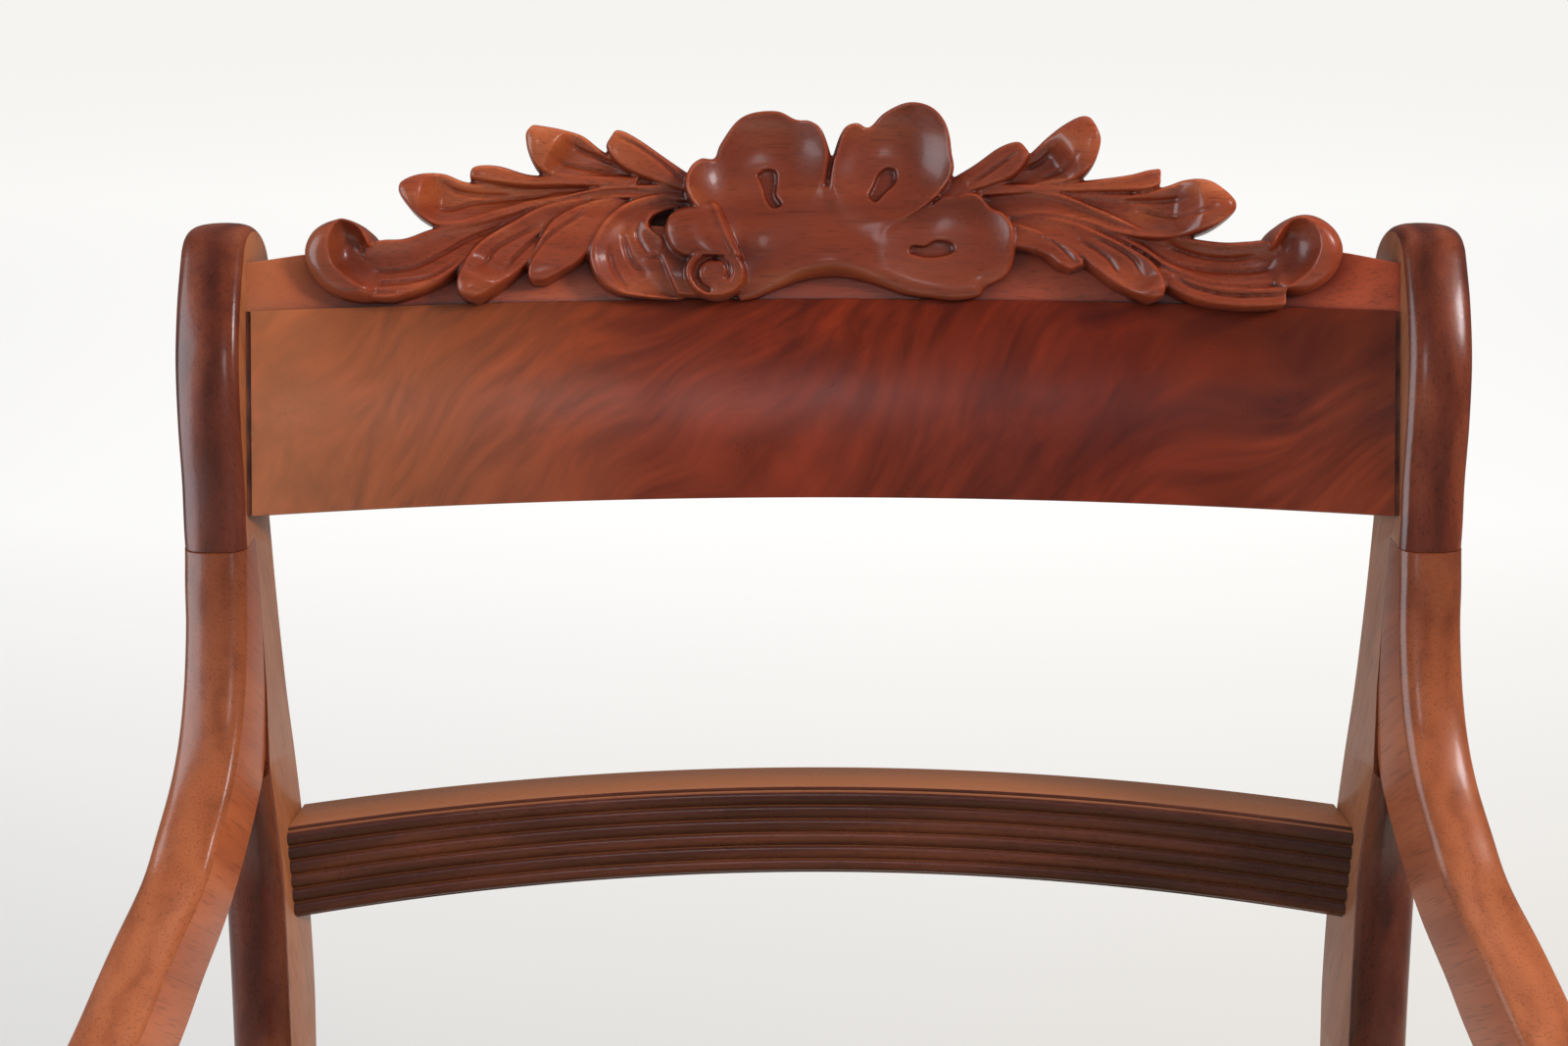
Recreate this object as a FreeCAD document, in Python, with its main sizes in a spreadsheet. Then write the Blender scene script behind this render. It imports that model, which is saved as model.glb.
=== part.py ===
import FreeCAD, Part
import math
import os

import Sketcher
from FreeCAD import Placement, Rotation, Vector

# A mahogany open armchair of about 1830 with a carved crest, a veneered tablet, a reeded
# mid rail, scrolled stiles and arms, sabre rear legs and a drop-in seat.
# Frame: +X to the sitter's left as seen from the front, +Y to the back, +Z up,
# origin on the floor below the middle of the chair.

doc = FreeCAD.newDocument("carved_armchair")
dims = doc.addObject("Spreadsheet::Sheet", "dims")

SIZES = [
    # the drawing
    ("drawing_step", 1.0, "one step of the squared drawing that the curved outlines are laid out on"),
    # the seat frame
    ("seat_height", 430.0, "floor to the top of the seat rails"),
    ("rail_depth", 68.0, "height of each seat rail"),
    ("rail_thick", 25.0, "thickness of each seat rail"),
    ("front_reach", 321.0, "from the middle of the chair to the face of the front legs"),
    ("front_half", 282.0, "half the width over the front legs"),
    ("leg_block", 44.0, "side of the square block on top of a front leg"),
    ("rail_step", 3.0, "how far the front rail lies behind the leg blocks"),
    ("back_rail_set", 4.0, "how far the back rail lies behind the front of the stiles"),
    ("bearer_drop", 18.0, "from the top of the rails down to the seat bearers"),
    ("bearer_wide", 12.0, "width of a bearer"),
    ("bearer_tall", 16.0, "height of a bearer"),
    ("block_run", 62.0, "how far a corner block runs along its rails"),
    ("block_tall", 38.0, "height of a corner block"),
    ("block_drop", 3.0, "how far a corner block lies below the bearers"),
    # the stiles and rear legs
    ("back_half", 242.4, "half the width between the stiles"),
    ("stile_wide", 27.0, "width of a stile"),
    ("stile_front", 112.0, "from the middle of the chair to the front of the stiles"),
    ("foot_sweep", 142.0, "how far the rear foot sweeps back"),
    ("rear_leg_deep", 42.0, "depth of the rear leg at the seat rail"),
    ("rear_foot_deep", 31.0, "depth of the rear leg at the floor"),
    ("crown_rise", 4.5, "how far the rounded front of a stile or arm stands out"),
    ("scroll_radius", 15.0, "radius of the scroll on top of a stile"),
    # the arms
    ("arm_scroll", 18.0, "radius of the scroll at the front of an arm"),
    ("support_deep", 34.0, "depth of an arm support"),
    # the upper back
    ("rake", 26.0, "how far the tablet and the crest lean back, degrees"),
    ("hollow", 42.0, "how deep the back is hollowed across its width"),
    ("tablet_rise", 323.4, "from the top of the rails up to the tablet"),
    ("tablet_back", 85.9, "from the front of the stiles back to the tablet"),
    ("tablet_tall", 86.0, "height of the tablet at its ends"),
    ("tablet_thick", 20.0, "thickness of the tablet with its veneer"),
    ("veneer_thick", 1.2, "thickness of the flame veneer"),
    ("arch_low", 8.0, "rise of the lower edge of the tablet at its middle"),
    ("arch_top", 11.0, "rise of the joint under the crest at its middle"),
    ("crest_thick", 16.0, "thickness of the board that the crest is carved from"),
    ("crest_set", 1.5, "how far that board lies behind the face of the tablet"),
    ("crest_end", 21.0, "height of that board at the stiles"),
    ("relief", 10.0, "how far the carving stands out from its board"),
    # the reeded rail
    ("reed_rake", 11.4, "how far the reeded rail leans back, degrees"),
    ("reed_rise", 128.7, "from the top of the seat rails up to the reeded rail"),
    ("reed_back", 59.2, "from the front of the stiles back to the reeded rail"),
    ("reed_tall", 45.7, "height of the reeded rail"),
    ("reed_thick", 23.0, "thickness of the reeded rail"),
    ("reed_count", 6.0, "number of reeds"),
    ("reed_bulge", 2.7, "how far each reed swells"),
    # the front legs
    ("block_tail", 22.0, "how far the square block runs below the rails"),
    ("collar_radius", 21.5, "radius of the turned collar"),
    ("reeds_top_radius", 19.0, "radius of the reeded shaft at its top"),
    ("reeds_foot_radius", 12.5, "radius of the reeded shaft at the ankle"),
    ("foot_tall", 62.0, "height of the turned foot"),
    ("leg_reeds", 10.0, "number of reeds round a front leg"),
    # the drop-in seat
    ("seat_gap", 1.5, "running gap between the seat and the rails"),
    ("cover_thick", 1.2, "thickness of the cover"),
    ("soft_gap", 0.3, "gap between the cover and what it covers"),
    ("frame_wide", 46.0, "width of each member of the seat's frame"),
    ("frame_tall", 20.0, "height of the seat's frame"),
    ("web_wide", 50.0, "width of a strip of webbing"),
    ("web_thick", 1.2, "thickness of the webbing"),
    ("hessian_thick", 0.8, "thickness of the hessian"),
    ("pad_crown", 31.0, "rise of the stuffing at its middle"),
    ("pad_corner", 14.0, "radius of the seat's corners in plan"),
    ("hem_wide", 22.0, "how far the cover is turned under"),
    ("dust_thick", 0.6, "thickness of the dust cover"),
    ("screw_radius", 2.2, "radius of a screw's shank"),
    ("screw_head", 4.2, "radius of a screw's head"),
]
for row, (alias, value, meaning) in enumerate(SIZES, start=1):
    dims.set(f"A{row}", meaning)
    dims.set(f"B{row}", str(value))
    dims.setAlias(f"B{row}", alias)
doc.recompute()


def size(alias):
    return float(dims.get(alias))


# Heights and places that several pieces share
STEP = size("drawing_step")
SEAT = size("seat_height")
RAIL_FOOT = SEAT - size("rail_depth")
BEARER_TOP = SEAT - size("bearer_drop")
FRONT = -size("front_reach")
LEG_BACK = FRONT + size("leg_block")
STILE = size("stile_front")
BACK_HALF = size("back_half")
STILE_OUT = BACK_HALF + size("stile_wide")
FRONT_INNER = FRONT + size("rail_step") + size("rail_thick")
BACK_RAIL_FRONT = STILE + size("back_rail_set")
HOLLOW_RADIUS = (BACK_HALF ** 2 + size("hollow") ** 2) / (2 * size("hollow"))
nodes = {}


# Helpers for the solids

def keep(label, made):
    """Name a finished sub-part."""
    made.Label = label
    nodes[label] = made
    return made


def solid(label, shape):
    """A sub-part of free form, made whole with the part functions."""
    made = doc.addObject("Part::Feature", "shape_" + label)
    made.Shape = shape
    made.Placement = Placement()
    return keep(label, made)


def helper(name, shape):
    """A shape that only serves to cut or join another one."""
    made = doc.addObject("Part::Feature", name)
    made.Shape = shape
    return made


def cut(label, base, tool):
    made = doc.addObject("Part::Cut", "cut_" + label)
    made.Base = base
    made.Tool = tool
    return keep(label, made)


def new_body(name):
    return doc.addObject("PartDesign::Body", name)


def sketch_on(body, name, role):
    """A sketch on one of the body's own origin planes."""
    sketch = body.newObject("Sketcher::SketchObject", name)
    plane = [item for item in body.Origin.OriginFeatures if item.Role == role][0]
    sketch.AttachmentSupport = [(plane, "")]
    sketch.MapMode = "FlatFace"
    return sketch


def rectangle(sketch, wide, tall):
    """A rectangle from the sketch's origin, with both sides bound to the sheet."""
    corners = [Vector(0, 0, 0), Vector(50, 0, 0), Vector(50, 30, 0), Vector(0, 30, 0)]
    for index in range(4):
        sketch.addGeometry(Part.LineSegment(corners[index], corners[(index + 1) % 4]), False)
    for index in range(4):
        sketch.addConstraint(Sketcher.Constraint("Coincident", index, 2, (index + 1) % 4, 1))
    sketch.addConstraint(Sketcher.Constraint("Horizontal", 0))
    sketch.addConstraint(Sketcher.Constraint("Horizontal", 2))
    sketch.addConstraint(Sketcher.Constraint("Vertical", 1))
    sketch.addConstraint(Sketcher.Constraint("Vertical", 3))
    sketch.addConstraint(Sketcher.Constraint("Coincident", 0, 1, -1, 1))
    for name, edge, kind, expression in (("wide", 0, "DistanceX", wide), ("tall", 1, "DistanceY", tall)):
        number = sketch.addConstraint(Sketcher.Constraint(kind, edge, 1, edge, 2, 20.0))
        sketch.renameConstraint(number, name)
        sketch.setExpression("Constraints." + name, expression)


def outline(sketch, points):
    """A closed outline of straight edges in the sketch."""
    corners = [Vector(x, y, 0) for x, y in points]
    count = len(corners)
    for index in range(count):
        sketch.addGeometry(Part.LineSegment(corners[index], corners[(index + 1) % count]), False)
        sketch.addConstraint(Sketcher.Constraint("Block", index))


def pad(body, sketch, length):
    """Pad the sketch by a length given as an expression in the sheet's words."""
    feature = body.newObject("PartDesign::Pad", "Pad_" + sketch.Name)
    feature.Profile = sketch
    feature.setExpression("Length", length)
    body.Tip = feature
    return feature


def place(made, x, y, z):
    """Tie where a sub-part stands to the sheet."""
    for axis, expression in (("x", x), ("y", y), ("z", z)):
        if expression is not None:
            made.setExpression("Placement.Base." + axis, expression)


def board(label, x, y, z, wide, deep, tall):
    """A straight piece of timber: a padded rectangle, placed by its least corner."""
    body = new_body("body_" + label)
    sketch = sketch_on(body, "plan_" + label, "XY_Plane")
    rectangle(sketch, wide, deep)
    pad(body, sketch, tall)
    place(body, x, y, z)
    return keep(label, body)


def plank(label, points, z, tall):
    """A piece with a plan of straight edges, padded upwards from a height."""
    body = new_body("body_" + label)
    sketch = sketch_on(body, "plan_" + label, "XY_Plane")
    outline(sketch, points)
    pad(body, sketch, tall)
    place(body, None, None, z)
    return keep(label, body)


def mirrored(points, side):
    return [(side * x, y) for x, y in points]


def through(points):
    """A smooth curve through points given as pairs."""
    curve = Part.BSplineCurve()
    curve.interpolate([Vector(0, y, z) for y, z in points])
    return curve


def evenly(curve, count):
    """Points at even steps along a curve."""
    edge = curve.toShape()
    return edge.discretize(Number=count)


def mix(share, low, high):
    return low + (high - low) * share


# Side rails, and the line that their outer faces follow

def rail_face(y):
    """Half the width over the seat rails at a place from front to back."""
    share = (STILE - y) / (STILE - LEG_BACK)
    return mix(share, STILE_OUT, size("front_half"))


def rail_inside(y):
    return rail_face(y) - size("rail_thick")


# Bull-nosed members: flat on the inner face, rounded along the front

# The rounded front: share of the width from the inner face, share of the rise
NOSE = [(0, 0), (0.10, 0.7), (0.40, 1), (0.80, 0.8), (1, 0)]
NOSE_FALL = 2.5


def nose_wire(x, front, back, rise, wide):
    """The section of a stile or arm between its front arris and its back arris."""
    ahead = (front - back).normalize()
    inner_front = Vector(x, front.y, front.z)
    inner_back = Vector(x, back.y, back.z)
    corners = [inner_front + ahead * (out * rise) + Vector(share * wide, 0, 0) for share, out in NOSE]
    corners[-1] = inner_front - ahead * NOSE_FALL + Vector(wide, 0, 0)
    corners += [inner_back + Vector(wide, 0, 0), inner_back]
    return Part.makePolygon(corners + corners[:1])


def nose_drum(x, centre, radius, rise, wide):
    """The scroll that ends a bull-nosed member, turned about an axis across the chair."""
    hub = Vector(x, centre.y, centre.z)
    profile = [(0, 0)] + [(share, radius + out * rise) for share, out in NOSE[:-1]]
    profile += [(1, radius - NOSE_FALL), (1, 0)]
    corners = [hub + Vector(share * wide, 0, out) for share, out in profile]
    face = Part.Face(Part.makePolygon(corners + corners[:1]))
    return face.revolve(hub, Vector(1, 0, 0), 360)


def to_side(shape, side):
    """The left-hand shape, or its mirror image on the other side of the chair."""
    if side > 0:
        return shape
    return shape.mirror(Vector(0, 0, 0), Vector(1, 0, 0))


def side_prism(points, x_low, x_high):
    """A prism across the chair over an outline given in the side view."""
    corners = [Vector(x_low, y, z) for y, z in points]
    face = Part.Face(Part.makePolygon(corners + corners[:1]))
    return face.extrude(Vector(x_high - x_low, 0, 0))


# Rear legs: a sabre leg, the seat joint and the scrolled stile in one piece

def above_seat(pairs):
    """Side-view points in drawing steps from the front of the stile and the top of the rails."""
    return [(STILE + back * STEP, SEAT + up * STEP) for back, up in pairs]


STILE_FACE = above_seat([
    (0, 0), (11, 40), (27, 82), (42, 123), (54, 160), (59.5, 197), (64, 230), (72, 270),
    (81.5, 311), (91, 337), (98, 360), (107, 382), (121, 405), (136, 420),
])
STILE_REAR = above_seat([
    (42, 0), (49, 40), (66, 83), (78, 123), (87, 160), (92.5, 197), (96.5, 232), (104, 274),
    (112, 310), (118, 333), (124, 352), (132, 371), (142, 387), (150, 399),
])
GLUE_LINE = above_seat([(91, 310.7), (86, 288.6), (74.2, 246.4), (60.2, 209.5)])
SCROLL_HUB = above_seat([(145.5, 413)])[0]


def leg_station(up):
    """Front and back of the sabre leg at a height below the rails."""
    share = 1 - up / RAIL_FOOT
    sweep = size("foot_sweep") * share ** 1.7
    deep = mix(share, size("rear_leg_deep"), size("rear_foot_deep"))
    middle = STILE + size("rear_leg_deep") / 2 + sweep
    return Vector(0, middle - deep / 2, up), Vector(0, middle + deep / 2, up)


def arm_joint_prism():
    """The space in front of the glue line, where the arm is fitted to the stile."""
    reach = 60.0 * STEP
    top = GLUE_LINE[0]
    foot = GLUE_LINE[-1]
    points = GLUE_LINE + [(foot[0] - reach, foot[1] - reach / 3), (top[0] - reach, top[1])]
    return side_prism(points, BACK_HALF - 20, STILE_OUT + 20)


def rear_leg(arm_shape):
    rise = size("crown_rise")
    wide = size("stile_wide")
    wires = []
    steps = 8
    for step in range(steps + 1):
        front, back = leg_station(RAIL_FOOT * step / steps)
        wires.append(nose_wire(BACK_HALF, front, back, mix(step / steps, rise * 0.7, 1.0), wide))
    leg = Part.makeLoft(wires, True, True)
    fronts = evenly(through(STILE_FACE), 17)
    backs = evenly(through(STILE_REAR), 17)
    wires = []
    for index, (front, back) in enumerate(zip(fronts, backs)):
        grown = min(1.0, index / 4)
        wires.append(nose_wire(BACK_HALF, front, back, mix(grown, 1.0, rise), wide))
    stile = Part.makeLoft(wires, True, True)
    hub = Vector(0, *SCROLL_HUB)
    drum = nose_drum(BACK_HALF, hub, size("scroll_radius"), rise * 0.8, wide)
    root = side_prism([
        (STILE, RAIL_FOOT), (STILE + size("rear_leg_deep"), RAIL_FOOT),
        (STILE + size("rear_leg_deep"), SEAT), (STILE, SEAT),
    ], BACK_HALF, STILE_OUT)
    whole = leg.fuse([root, stile, drum])
    clear = side_prism([
        (STILE - 20, RAIL_FOOT - 1), (STILE, RAIL_FOOT - 1), (STILE, SEAT + 1), (STILE - 20, SEAT + 1),
    ], BACK_HALF - 20, STILE_OUT + 20)
    return whole.cut([clear, arm_joint_prism(), arm_shape]).removeSplitter()


# Arms: glued into the front of the stile, swept forward and down, scrolled at the front

ARM_TOP = above_seat([
    (93, 335), (85, 322), (81, 311), (74, 297), (67, 281), (55, 259), (43, 242), (29, 228), (12, 216),
    (-5, 205), (-30, 197), (-46, 191), (-69, 182), (-112, 170), (-162, 163), (-212, 164),
    (-257, 172), (-292, 183), (-318, 191),
])
ARM_FOOT = above_seat([
    (122, 320), (112, 309), (103, 298), (94, 282), (85, 262), (76, 240), (62, 214), (47, 200), (30, 188),
    (8, 175), (-17, 165), (-36, 156), (-62, 147), (-107, 138), (-162, 132), (-209, 134),
    (-248, 143), (-277, 153), (-303, 159),
])
ARM_HUB = above_seat([(-312, 171)])[0]


def arm_inside(y):
    """Half the gap between the arms, which splay from the stiles out to the rails."""
    start = STILE + 78 * STEP
    stop = STILE - 202 * STEP
    share = min(1.0, max(0.0, (start - y) / (start - stop)))
    return mix(share ** 1.3, BACK_HALF, rail_face(stop)) + max(0.0, stop - y) * 0.05


def arm():
    rise = size("crown_rise")
    wide = size("stile_wide")
    count = 16
    tops = evenly(through(ARM_TOP), count)
    feet = evenly(through(ARM_FOOT), count)
    wires = []
    for top, foot in zip(tops, feet):
        wires.append(nose_wire(arm_inside((top.y + foot.y) / 2), top, foot, rise, wide))
    swept = Part.makeLoft(wires, True, True)
    hub = Vector(0, *ARM_HUB)
    drum = nose_drum(arm_inside(hub.y), hub, size("arm_scroll"), rise * 0.8, wide)
    whole = swept.fuse(drum)
    top = GLUE_LINE[0]
    foot = GLUE_LINE[-1]
    reach = 60.0 * STEP
    behind = side_prism(
        GLUE_LINE + [(foot[0], foot[1] - reach), (foot[0] + 1.5 * reach, foot[1] - reach),
                     (foot[0] + 1.5 * reach, top[1] + reach), (top[0] - reach, top[1] + reach),
                     (top[0] - reach, top[1])],
        BACK_HALF - 20, STILE_OUT + 20)
    return whole.cut(behind).removeSplitter()


SUPPORT_FACE = above_seat([(-287, -68), (-290, -30), (-286, 10), (-274, 50), (-268, 85), (-276, 120), (-296, 150)])


def support(arm_shape):
    """An arm support: screwed to the outer face of the side rail, rising in a double curve."""
    wide = size("stile_wide")
    deep = size("support_deep")
    count = 9
    fronts = evenly(through(SUPPORT_FACE), count)
    wires = []
    for index, front in enumerate(fronts):
        back = front + Vector(0, deep + 10 * (1 - index / (count - 1)) ** 2, 0)
        rise = mix(min(1.0, index / 3), 5.0, size("crown_rise"))
        wire = nose_wire(0.0, front, back, rise, wide)
        wires.append(wire)
    upright = Part.makeLoft(wires, True, True)
    middle = STILE - 260 * STEP
    turn = math.degrees(math.atan((size("front_half") - STILE_OUT) / (STILE - LEG_BACK)))
    upright.rotate(Vector(0, middle, 0), Vector(0, 0, 1), turn)
    upright.translate(Vector(rail_face(middle), 0, 0))
    return upright.cut(arm_shape).removeSplitter()


# Upper back: pieces bent to one hollow, on a plane that leans back

def raked(made, back, rise, rake):
    """Stand a piece of the upper back on its lean."""
    made.Placement = Placement(Vector(0, 0, 0), Rotation(Vector(1, 0, 0), -size(rake)))
    made.setExpression("Placement.Base.y", f"dims.stile_front + dims.{back}")
    made.setExpression("Placement.Base.z", f"dims.seat_height + dims.{rise}")
    return made


def on_back(along, up, proud):
    """A point of the hollow back: along its width, up its lean, proud of its ground."""
    radius = HOLLOW_RADIUS - proud
    depth = math.sqrt(radius ** 2 - along ** 2) - (HOLLOW_RADIUS - size("hollow"))
    return Vector(along, depth, up)


def hollow_slab(low, high, front, back):
    """A curved slab between two heights, its faces proud of or behind the ground."""
    def arc(proud, up):
        ends = [on_back(side * BACK_HALF, up, proud) for side in (-1, 1)]
        return Part.Arc(ends[0], on_back(0, up, proud), ends[1]).toShape()
    face_arc = arc(front, low)
    rear_arc = arc(back, low)
    joins = [
        Part.LineSegment(face_arc.Vertexes[-1].Point, rear_arc.Vertexes[-1].Point).toShape(),
        Part.LineSegment(rear_arc.Vertexes[0].Point, face_arc.Vertexes[0].Point).toShape(),
    ]
    plan = Part.Wire(Part.__sortEdges__([face_arc, joins[0], rear_arc, joins[1]]))
    return Part.Face(plan).extrude(Vector(0, 0, high - low))


def front_prism(edges):
    """A prism from front to back through the upper back, over an outline in the front view."""
    face = Part.Face(Part.Wire(Part.__sortEdges__(edges)))
    return face.extrude(Vector(0, 200, 0))


def arch(low, rise, half):
    """An arched edge in the front view, level with low at both ends."""
    ends = [Vector(-half, -100, low), Vector(half, -100, low)]
    return Part.Arc(ends[0], Vector(0, -100, low + rise), ends[1]).toShape()


def line(start, stop):
    return Part.LineSegment(Vector(*start), Vector(*stop)).toShape()


def tablet_piece(front, back):
    """The tablet between its two arched edges, from one depth to another."""
    slab = hollow_slab(-5, size("tablet_tall") + 20, front, back)
    half = BACK_HALF
    tall = size("tablet_tall")
    face = front_prism([
        arch(0, size("arch_low"), half), arch(tall, size("arch_top"), half),
        line((-half, -100, 0), (-half, -100, tall)), line((half, -100, 0), (half, -100, tall)),
    ])
    return slab.common(face)


def reeded_rail():
    """The hollow mid rail, turned about the centre of the hollow, with reeds along its face."""
    body = new_body("body_reeded_rail")
    sketch = sketch_on(body, "section_reeded_rail", "YZ_Plane")
    tall = size("reed_tall")
    count = int(size("reed_count"))
    flat = 1.4
    pitch = (tall - 2 * flat) / count
    face = size("hollow")
    rear = face + size("reed_thick")
    edges = []
    edges.append(Part.LineSegment(Vector(face, 0, 0), Vector(face, flat, 0)))
    for reed in range(count):
        low = flat + reed * pitch
        swell = [Vector(face - size("reed_bulge") * out, low + pitch * share, 0)
                 for share, out in ((0, 0), (0.16, 0.72), (0.5, 1), (0.84, 0.72), (1, 0))]
        for start, stop in zip(swell[:-1], swell[1:]):
            edges.append(Part.LineSegment(start, stop))
    edges.append(Part.LineSegment(Vector(face, tall - flat, 0), Vector(face, tall, 0)))
    edges.append(Part.LineSegment(Vector(face, tall, 0), Vector(rear, tall, 0)))
    edges.append(Part.LineSegment(Vector(rear, tall, 0), Vector(rear, 0, 0)))
    edges.append(Part.LineSegment(Vector(rear, 0, 0), Vector(face, 0, 0)))
    for edge in edges:
        sketch.addGeometry(edge, False)
    centre = face - HOLLOW_RADIUS
    axis = sketch.addGeometry(Part.LineSegment(Vector(centre, -50, 0), Vector(centre, 50, 0)), True)
    turned = body.newObject("PartDesign::Revolution", "Revolution_reeded_rail")
    turned.Profile = sketch
    turned.ReferenceAxis = (sketch, ["Axis0"])
    turned.Angle = 2 * math.degrees(math.asin((BACK_HALF + 20) / HOLLOW_RADIUS))
    turned.Midplane = True
    body.Tip = turned
    trim = sketch_on(body, "ends_reeded_rail", "XY_Plane")
    for side in (-1, 1):
        corners = [(side * BACK_HALF, -90), (side * (BACK_HALF + 90), -90),
                   (side * (BACK_HALF + 90), 120), (side * BACK_HALF, 120)]
        points = [Vector(x, y, 0) for x, y in corners]
        for index in range(4):
            trim.addGeometry(Part.LineSegment(points[index], points[(index + 1) % 4]), False)
    doc.recompute()
    ends = body.newObject("PartDesign::Pocket", "Pocket_reeded_rail")
    ends.Profile = trim
    ends.SideType = "Symmetric"
    ends.Type = "Length"
    ends.Length = 4 * tall
    body.Tip = ends
    doc.recompute()
    raked(body, "reed_back", "reed_rise", "reed_rake")
    return keep("reeded_rail", body)


# Carved crest: leaves, volutes and a shell of three petals on the hollow ground

# How deep the carved pieces run into the board, as a share of the relief
ROOT = 0.9


def ground_frame(along, up):
    """A point on the ground with the directions along it and out of it."""
    centre = Vector(0, size("hollow") - HOLLOW_RADIUS, up)
    here = on_back(along, up, 0)
    out = (centre - here).normalize()
    return here, Vector(-out.y, out.x, 0), out


def smooth(stations, count):
    """More stations on a smooth run through the given ones."""
    steps = [float(index) for index in range(len(stations))]
    spine = Part.BSplineCurve()
    spine.interpolate([Vector(along, half, up) for along, up, half, proud in stations], Parameters=steps)
    height = Part.BSplineCurve()
    height.interpolate([Vector(step, proud, 0) for step, (_, _, _, proud) in zip(steps, stations)],
                       Parameters=steps)
    finer = []
    for index in range(count):
        at = steps[-1] * index / (count - 1)
        here = spine.value(at)
        finer.append((here.x, here.z, here.y, height.value(at).y))
    return finer


def blade(stations):
    """A carved leaf lobe: (along, up, half width, share of the relief) from its root to its tip."""
    relief = size("relief")
    behind = -ROOT * relief
    drawn = [(along * STEP, up * STEP, half * STEP, proud * relief) for along, up, half, proud in stations]
    stations = smooth(drawn, 2 * len(drawn) - 1)
    count = len(stations)
    wires = []
    for index, (along, up, half, proud) in enumerate(stations):
        before = stations[max(0, index - 1)]
        after = stations[min(count - 1, index + 1)]
        run = Vector(after[0] - before[0], 0, after[1] - before[1]).normalize()
        here, right_way, out = ground_frame(along, up)
        side = (right_way * -run.z + Vector(0, 0, run.x)) * half
        profile = [(1, behind), (1, 0.2 * proud), (0.62, proud), (0, 0.62 * proud), (-0.62, proud),
                   (-1, 0.2 * proud), (-1, behind)]
        corners = [here + side * share + out * depth for share, depth in profile]
        wires.append(Part.makePolygon(corners + corners[:1]))
    return Part.makeLoft(wires, True, True)


def volute(along, up, radius, proud):
    """A curled scroll end: a rolled rim round a dished bowl with an eye."""
    root_depth = -ROOT * size("relief")
    points = [(0, root_depth), (radius, root_depth), (radius, proud), (radius * 0.62, proud),
              (radius * 0.3, proud * 0.25), (0, proud * 0.6)]
    face = Part.Face(Part.makePolygon([Vector(r, 0, z) for r, z in points + points[:1]]))
    turned = face.revolve(Vector(0, 0, 0), Vector(0, 0, 1), 360)
    root = on_back(along, up, 0)
    centre = Vector(0, size("hollow") - HOLLOW_RADIUS, up)
    turned.Placement = Placement(root, Rotation(Vector(0, 0, 1), centre - root))
    return turned


def petal_ring(points, middle, scale, proud):
    """A petal's outline drawn in towards its middle, at a depth on the ground."""
    here, right_way, out = ground_frame(middle[0] * STEP, middle[1] * STEP)
    ring = []
    for along, up in points:
        across = (along - middle[0]) * scale * STEP
        above = (up - middle[1]) * scale * STEP
        ring.append(here + right_way * across + Vector(0, 0, above) + out * proud)
    curve = Part.BSplineCurve()
    curve.interpolate(ring, PeriodicFlag=True)
    smoothed = curve.toShape().discretize(Number=17)[:-1]
    return Part.makePolygon(smoothed + smoothed[:1])


def petal(points, middle):
    """A dished petal of the shell: rounded rim, sunk bowl."""
    relief = size("relief")
    body = Part.makeLoft([
        petal_ring(points, middle, 0.96, -ROOT * relief), petal_ring(points, middle, 1.0, relief * 0.4),
        petal_ring(points, middle, 0.88, relief),
    ], True, True)
    bowl = Part.makeLoft([
        petal_ring(points, middle, 0.80, relief * 1.1), petal_ring(points, middle, 0.30, relief * 0.3),
    ], True, True)
    return body.cut(bowl)


def spray(side):
    """The running acanthus leaf on one side of the crest, tips curling to the stile."""
    lobes = [
        # the midrib, from the shell out to the volute
        [(60, 137, 8, 0.6), (92, 133, 12, 0.8), (122, 126, 13, 1.0), (148, 114, 12.5, 1.0),
         (174, 106, 11, 0.9), (200, 108, 11, 0.6)],
        # the four lobes above it
        [(132, 126, 7, 0.8), (150, 137, 8, 1.0), (166, 139, 7.5, 1.1), (177, 135, 4.5, 1.0)],
        [(104, 134, 7, 0.8), (122, 142, 7, 1.0), (138, 145, 6, 1.1), (149, 146, 3.5, 1.0)],
        [(80, 138, 8, 0.8), (94, 151, 8.5, 1.0), (108, 160, 8, 1.2), (121, 164, 5.5, 1.1)],
        [(58, 140, 6, 0.7), (70, 151, 7, 0.9), (82, 159, 6.5, 1.1), (91, 163, 4, 1.0)],
        # the two lobes below it
        [(134, 119, 8, 0.8), (146, 108, 7, 1.0), (149, 98, 5, 1.1)],
        [(104, 126, 8, 0.8), (114, 115, 7.5, 1.0), (122, 105, 5, 1.1)],
        [(84, 127, 7, 0.7), (90, 116, 7, 0.9), (98, 107, 4.5, 1.0)],
    ]
    shapes = []
    for lobe in lobes:
        shapes.append(blade([(side * along, up, half, proud) for along, up, half, proud in lobe]))
    shapes.append(volute(side * 205 * STEP, 110 * STEP, 14.5 * STEP, size("relief") * 1.2))
    return shapes


def crest_board():
    """The board behind the carving: low at the stiles, rising behind the shell."""
    tall = size("tablet_tall")
    half = BACK_HALF
    end = tall + size("crest_end")
    rise = [(-160, 114), (-128, 138), (-70, 146), (-30, 156), (30, 158), (70, 146), (128, 138), (160, 114)]
    top = [(-half, end)] + [(along * STEP, up * STEP) for along, up in rise] + [(half, end)]
    edges = [arch(tall, size("arch_top"), half)]
    for start, stop in zip(top[:-1], top[1:]):
        edges.append(line((start[0], -100, start[1]), (stop[0], -100, stop[1])))
    for side in (-1, 1):
        edges.append(line((side * half, -100, tall), (side * half, -100, end)))
    front = -size("crest_set")
    slab = hollow_slab(tall * 0.9, tall * 2, front, front - size("crest_thick"))
    return slab.common(front_prism(edges))


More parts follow.
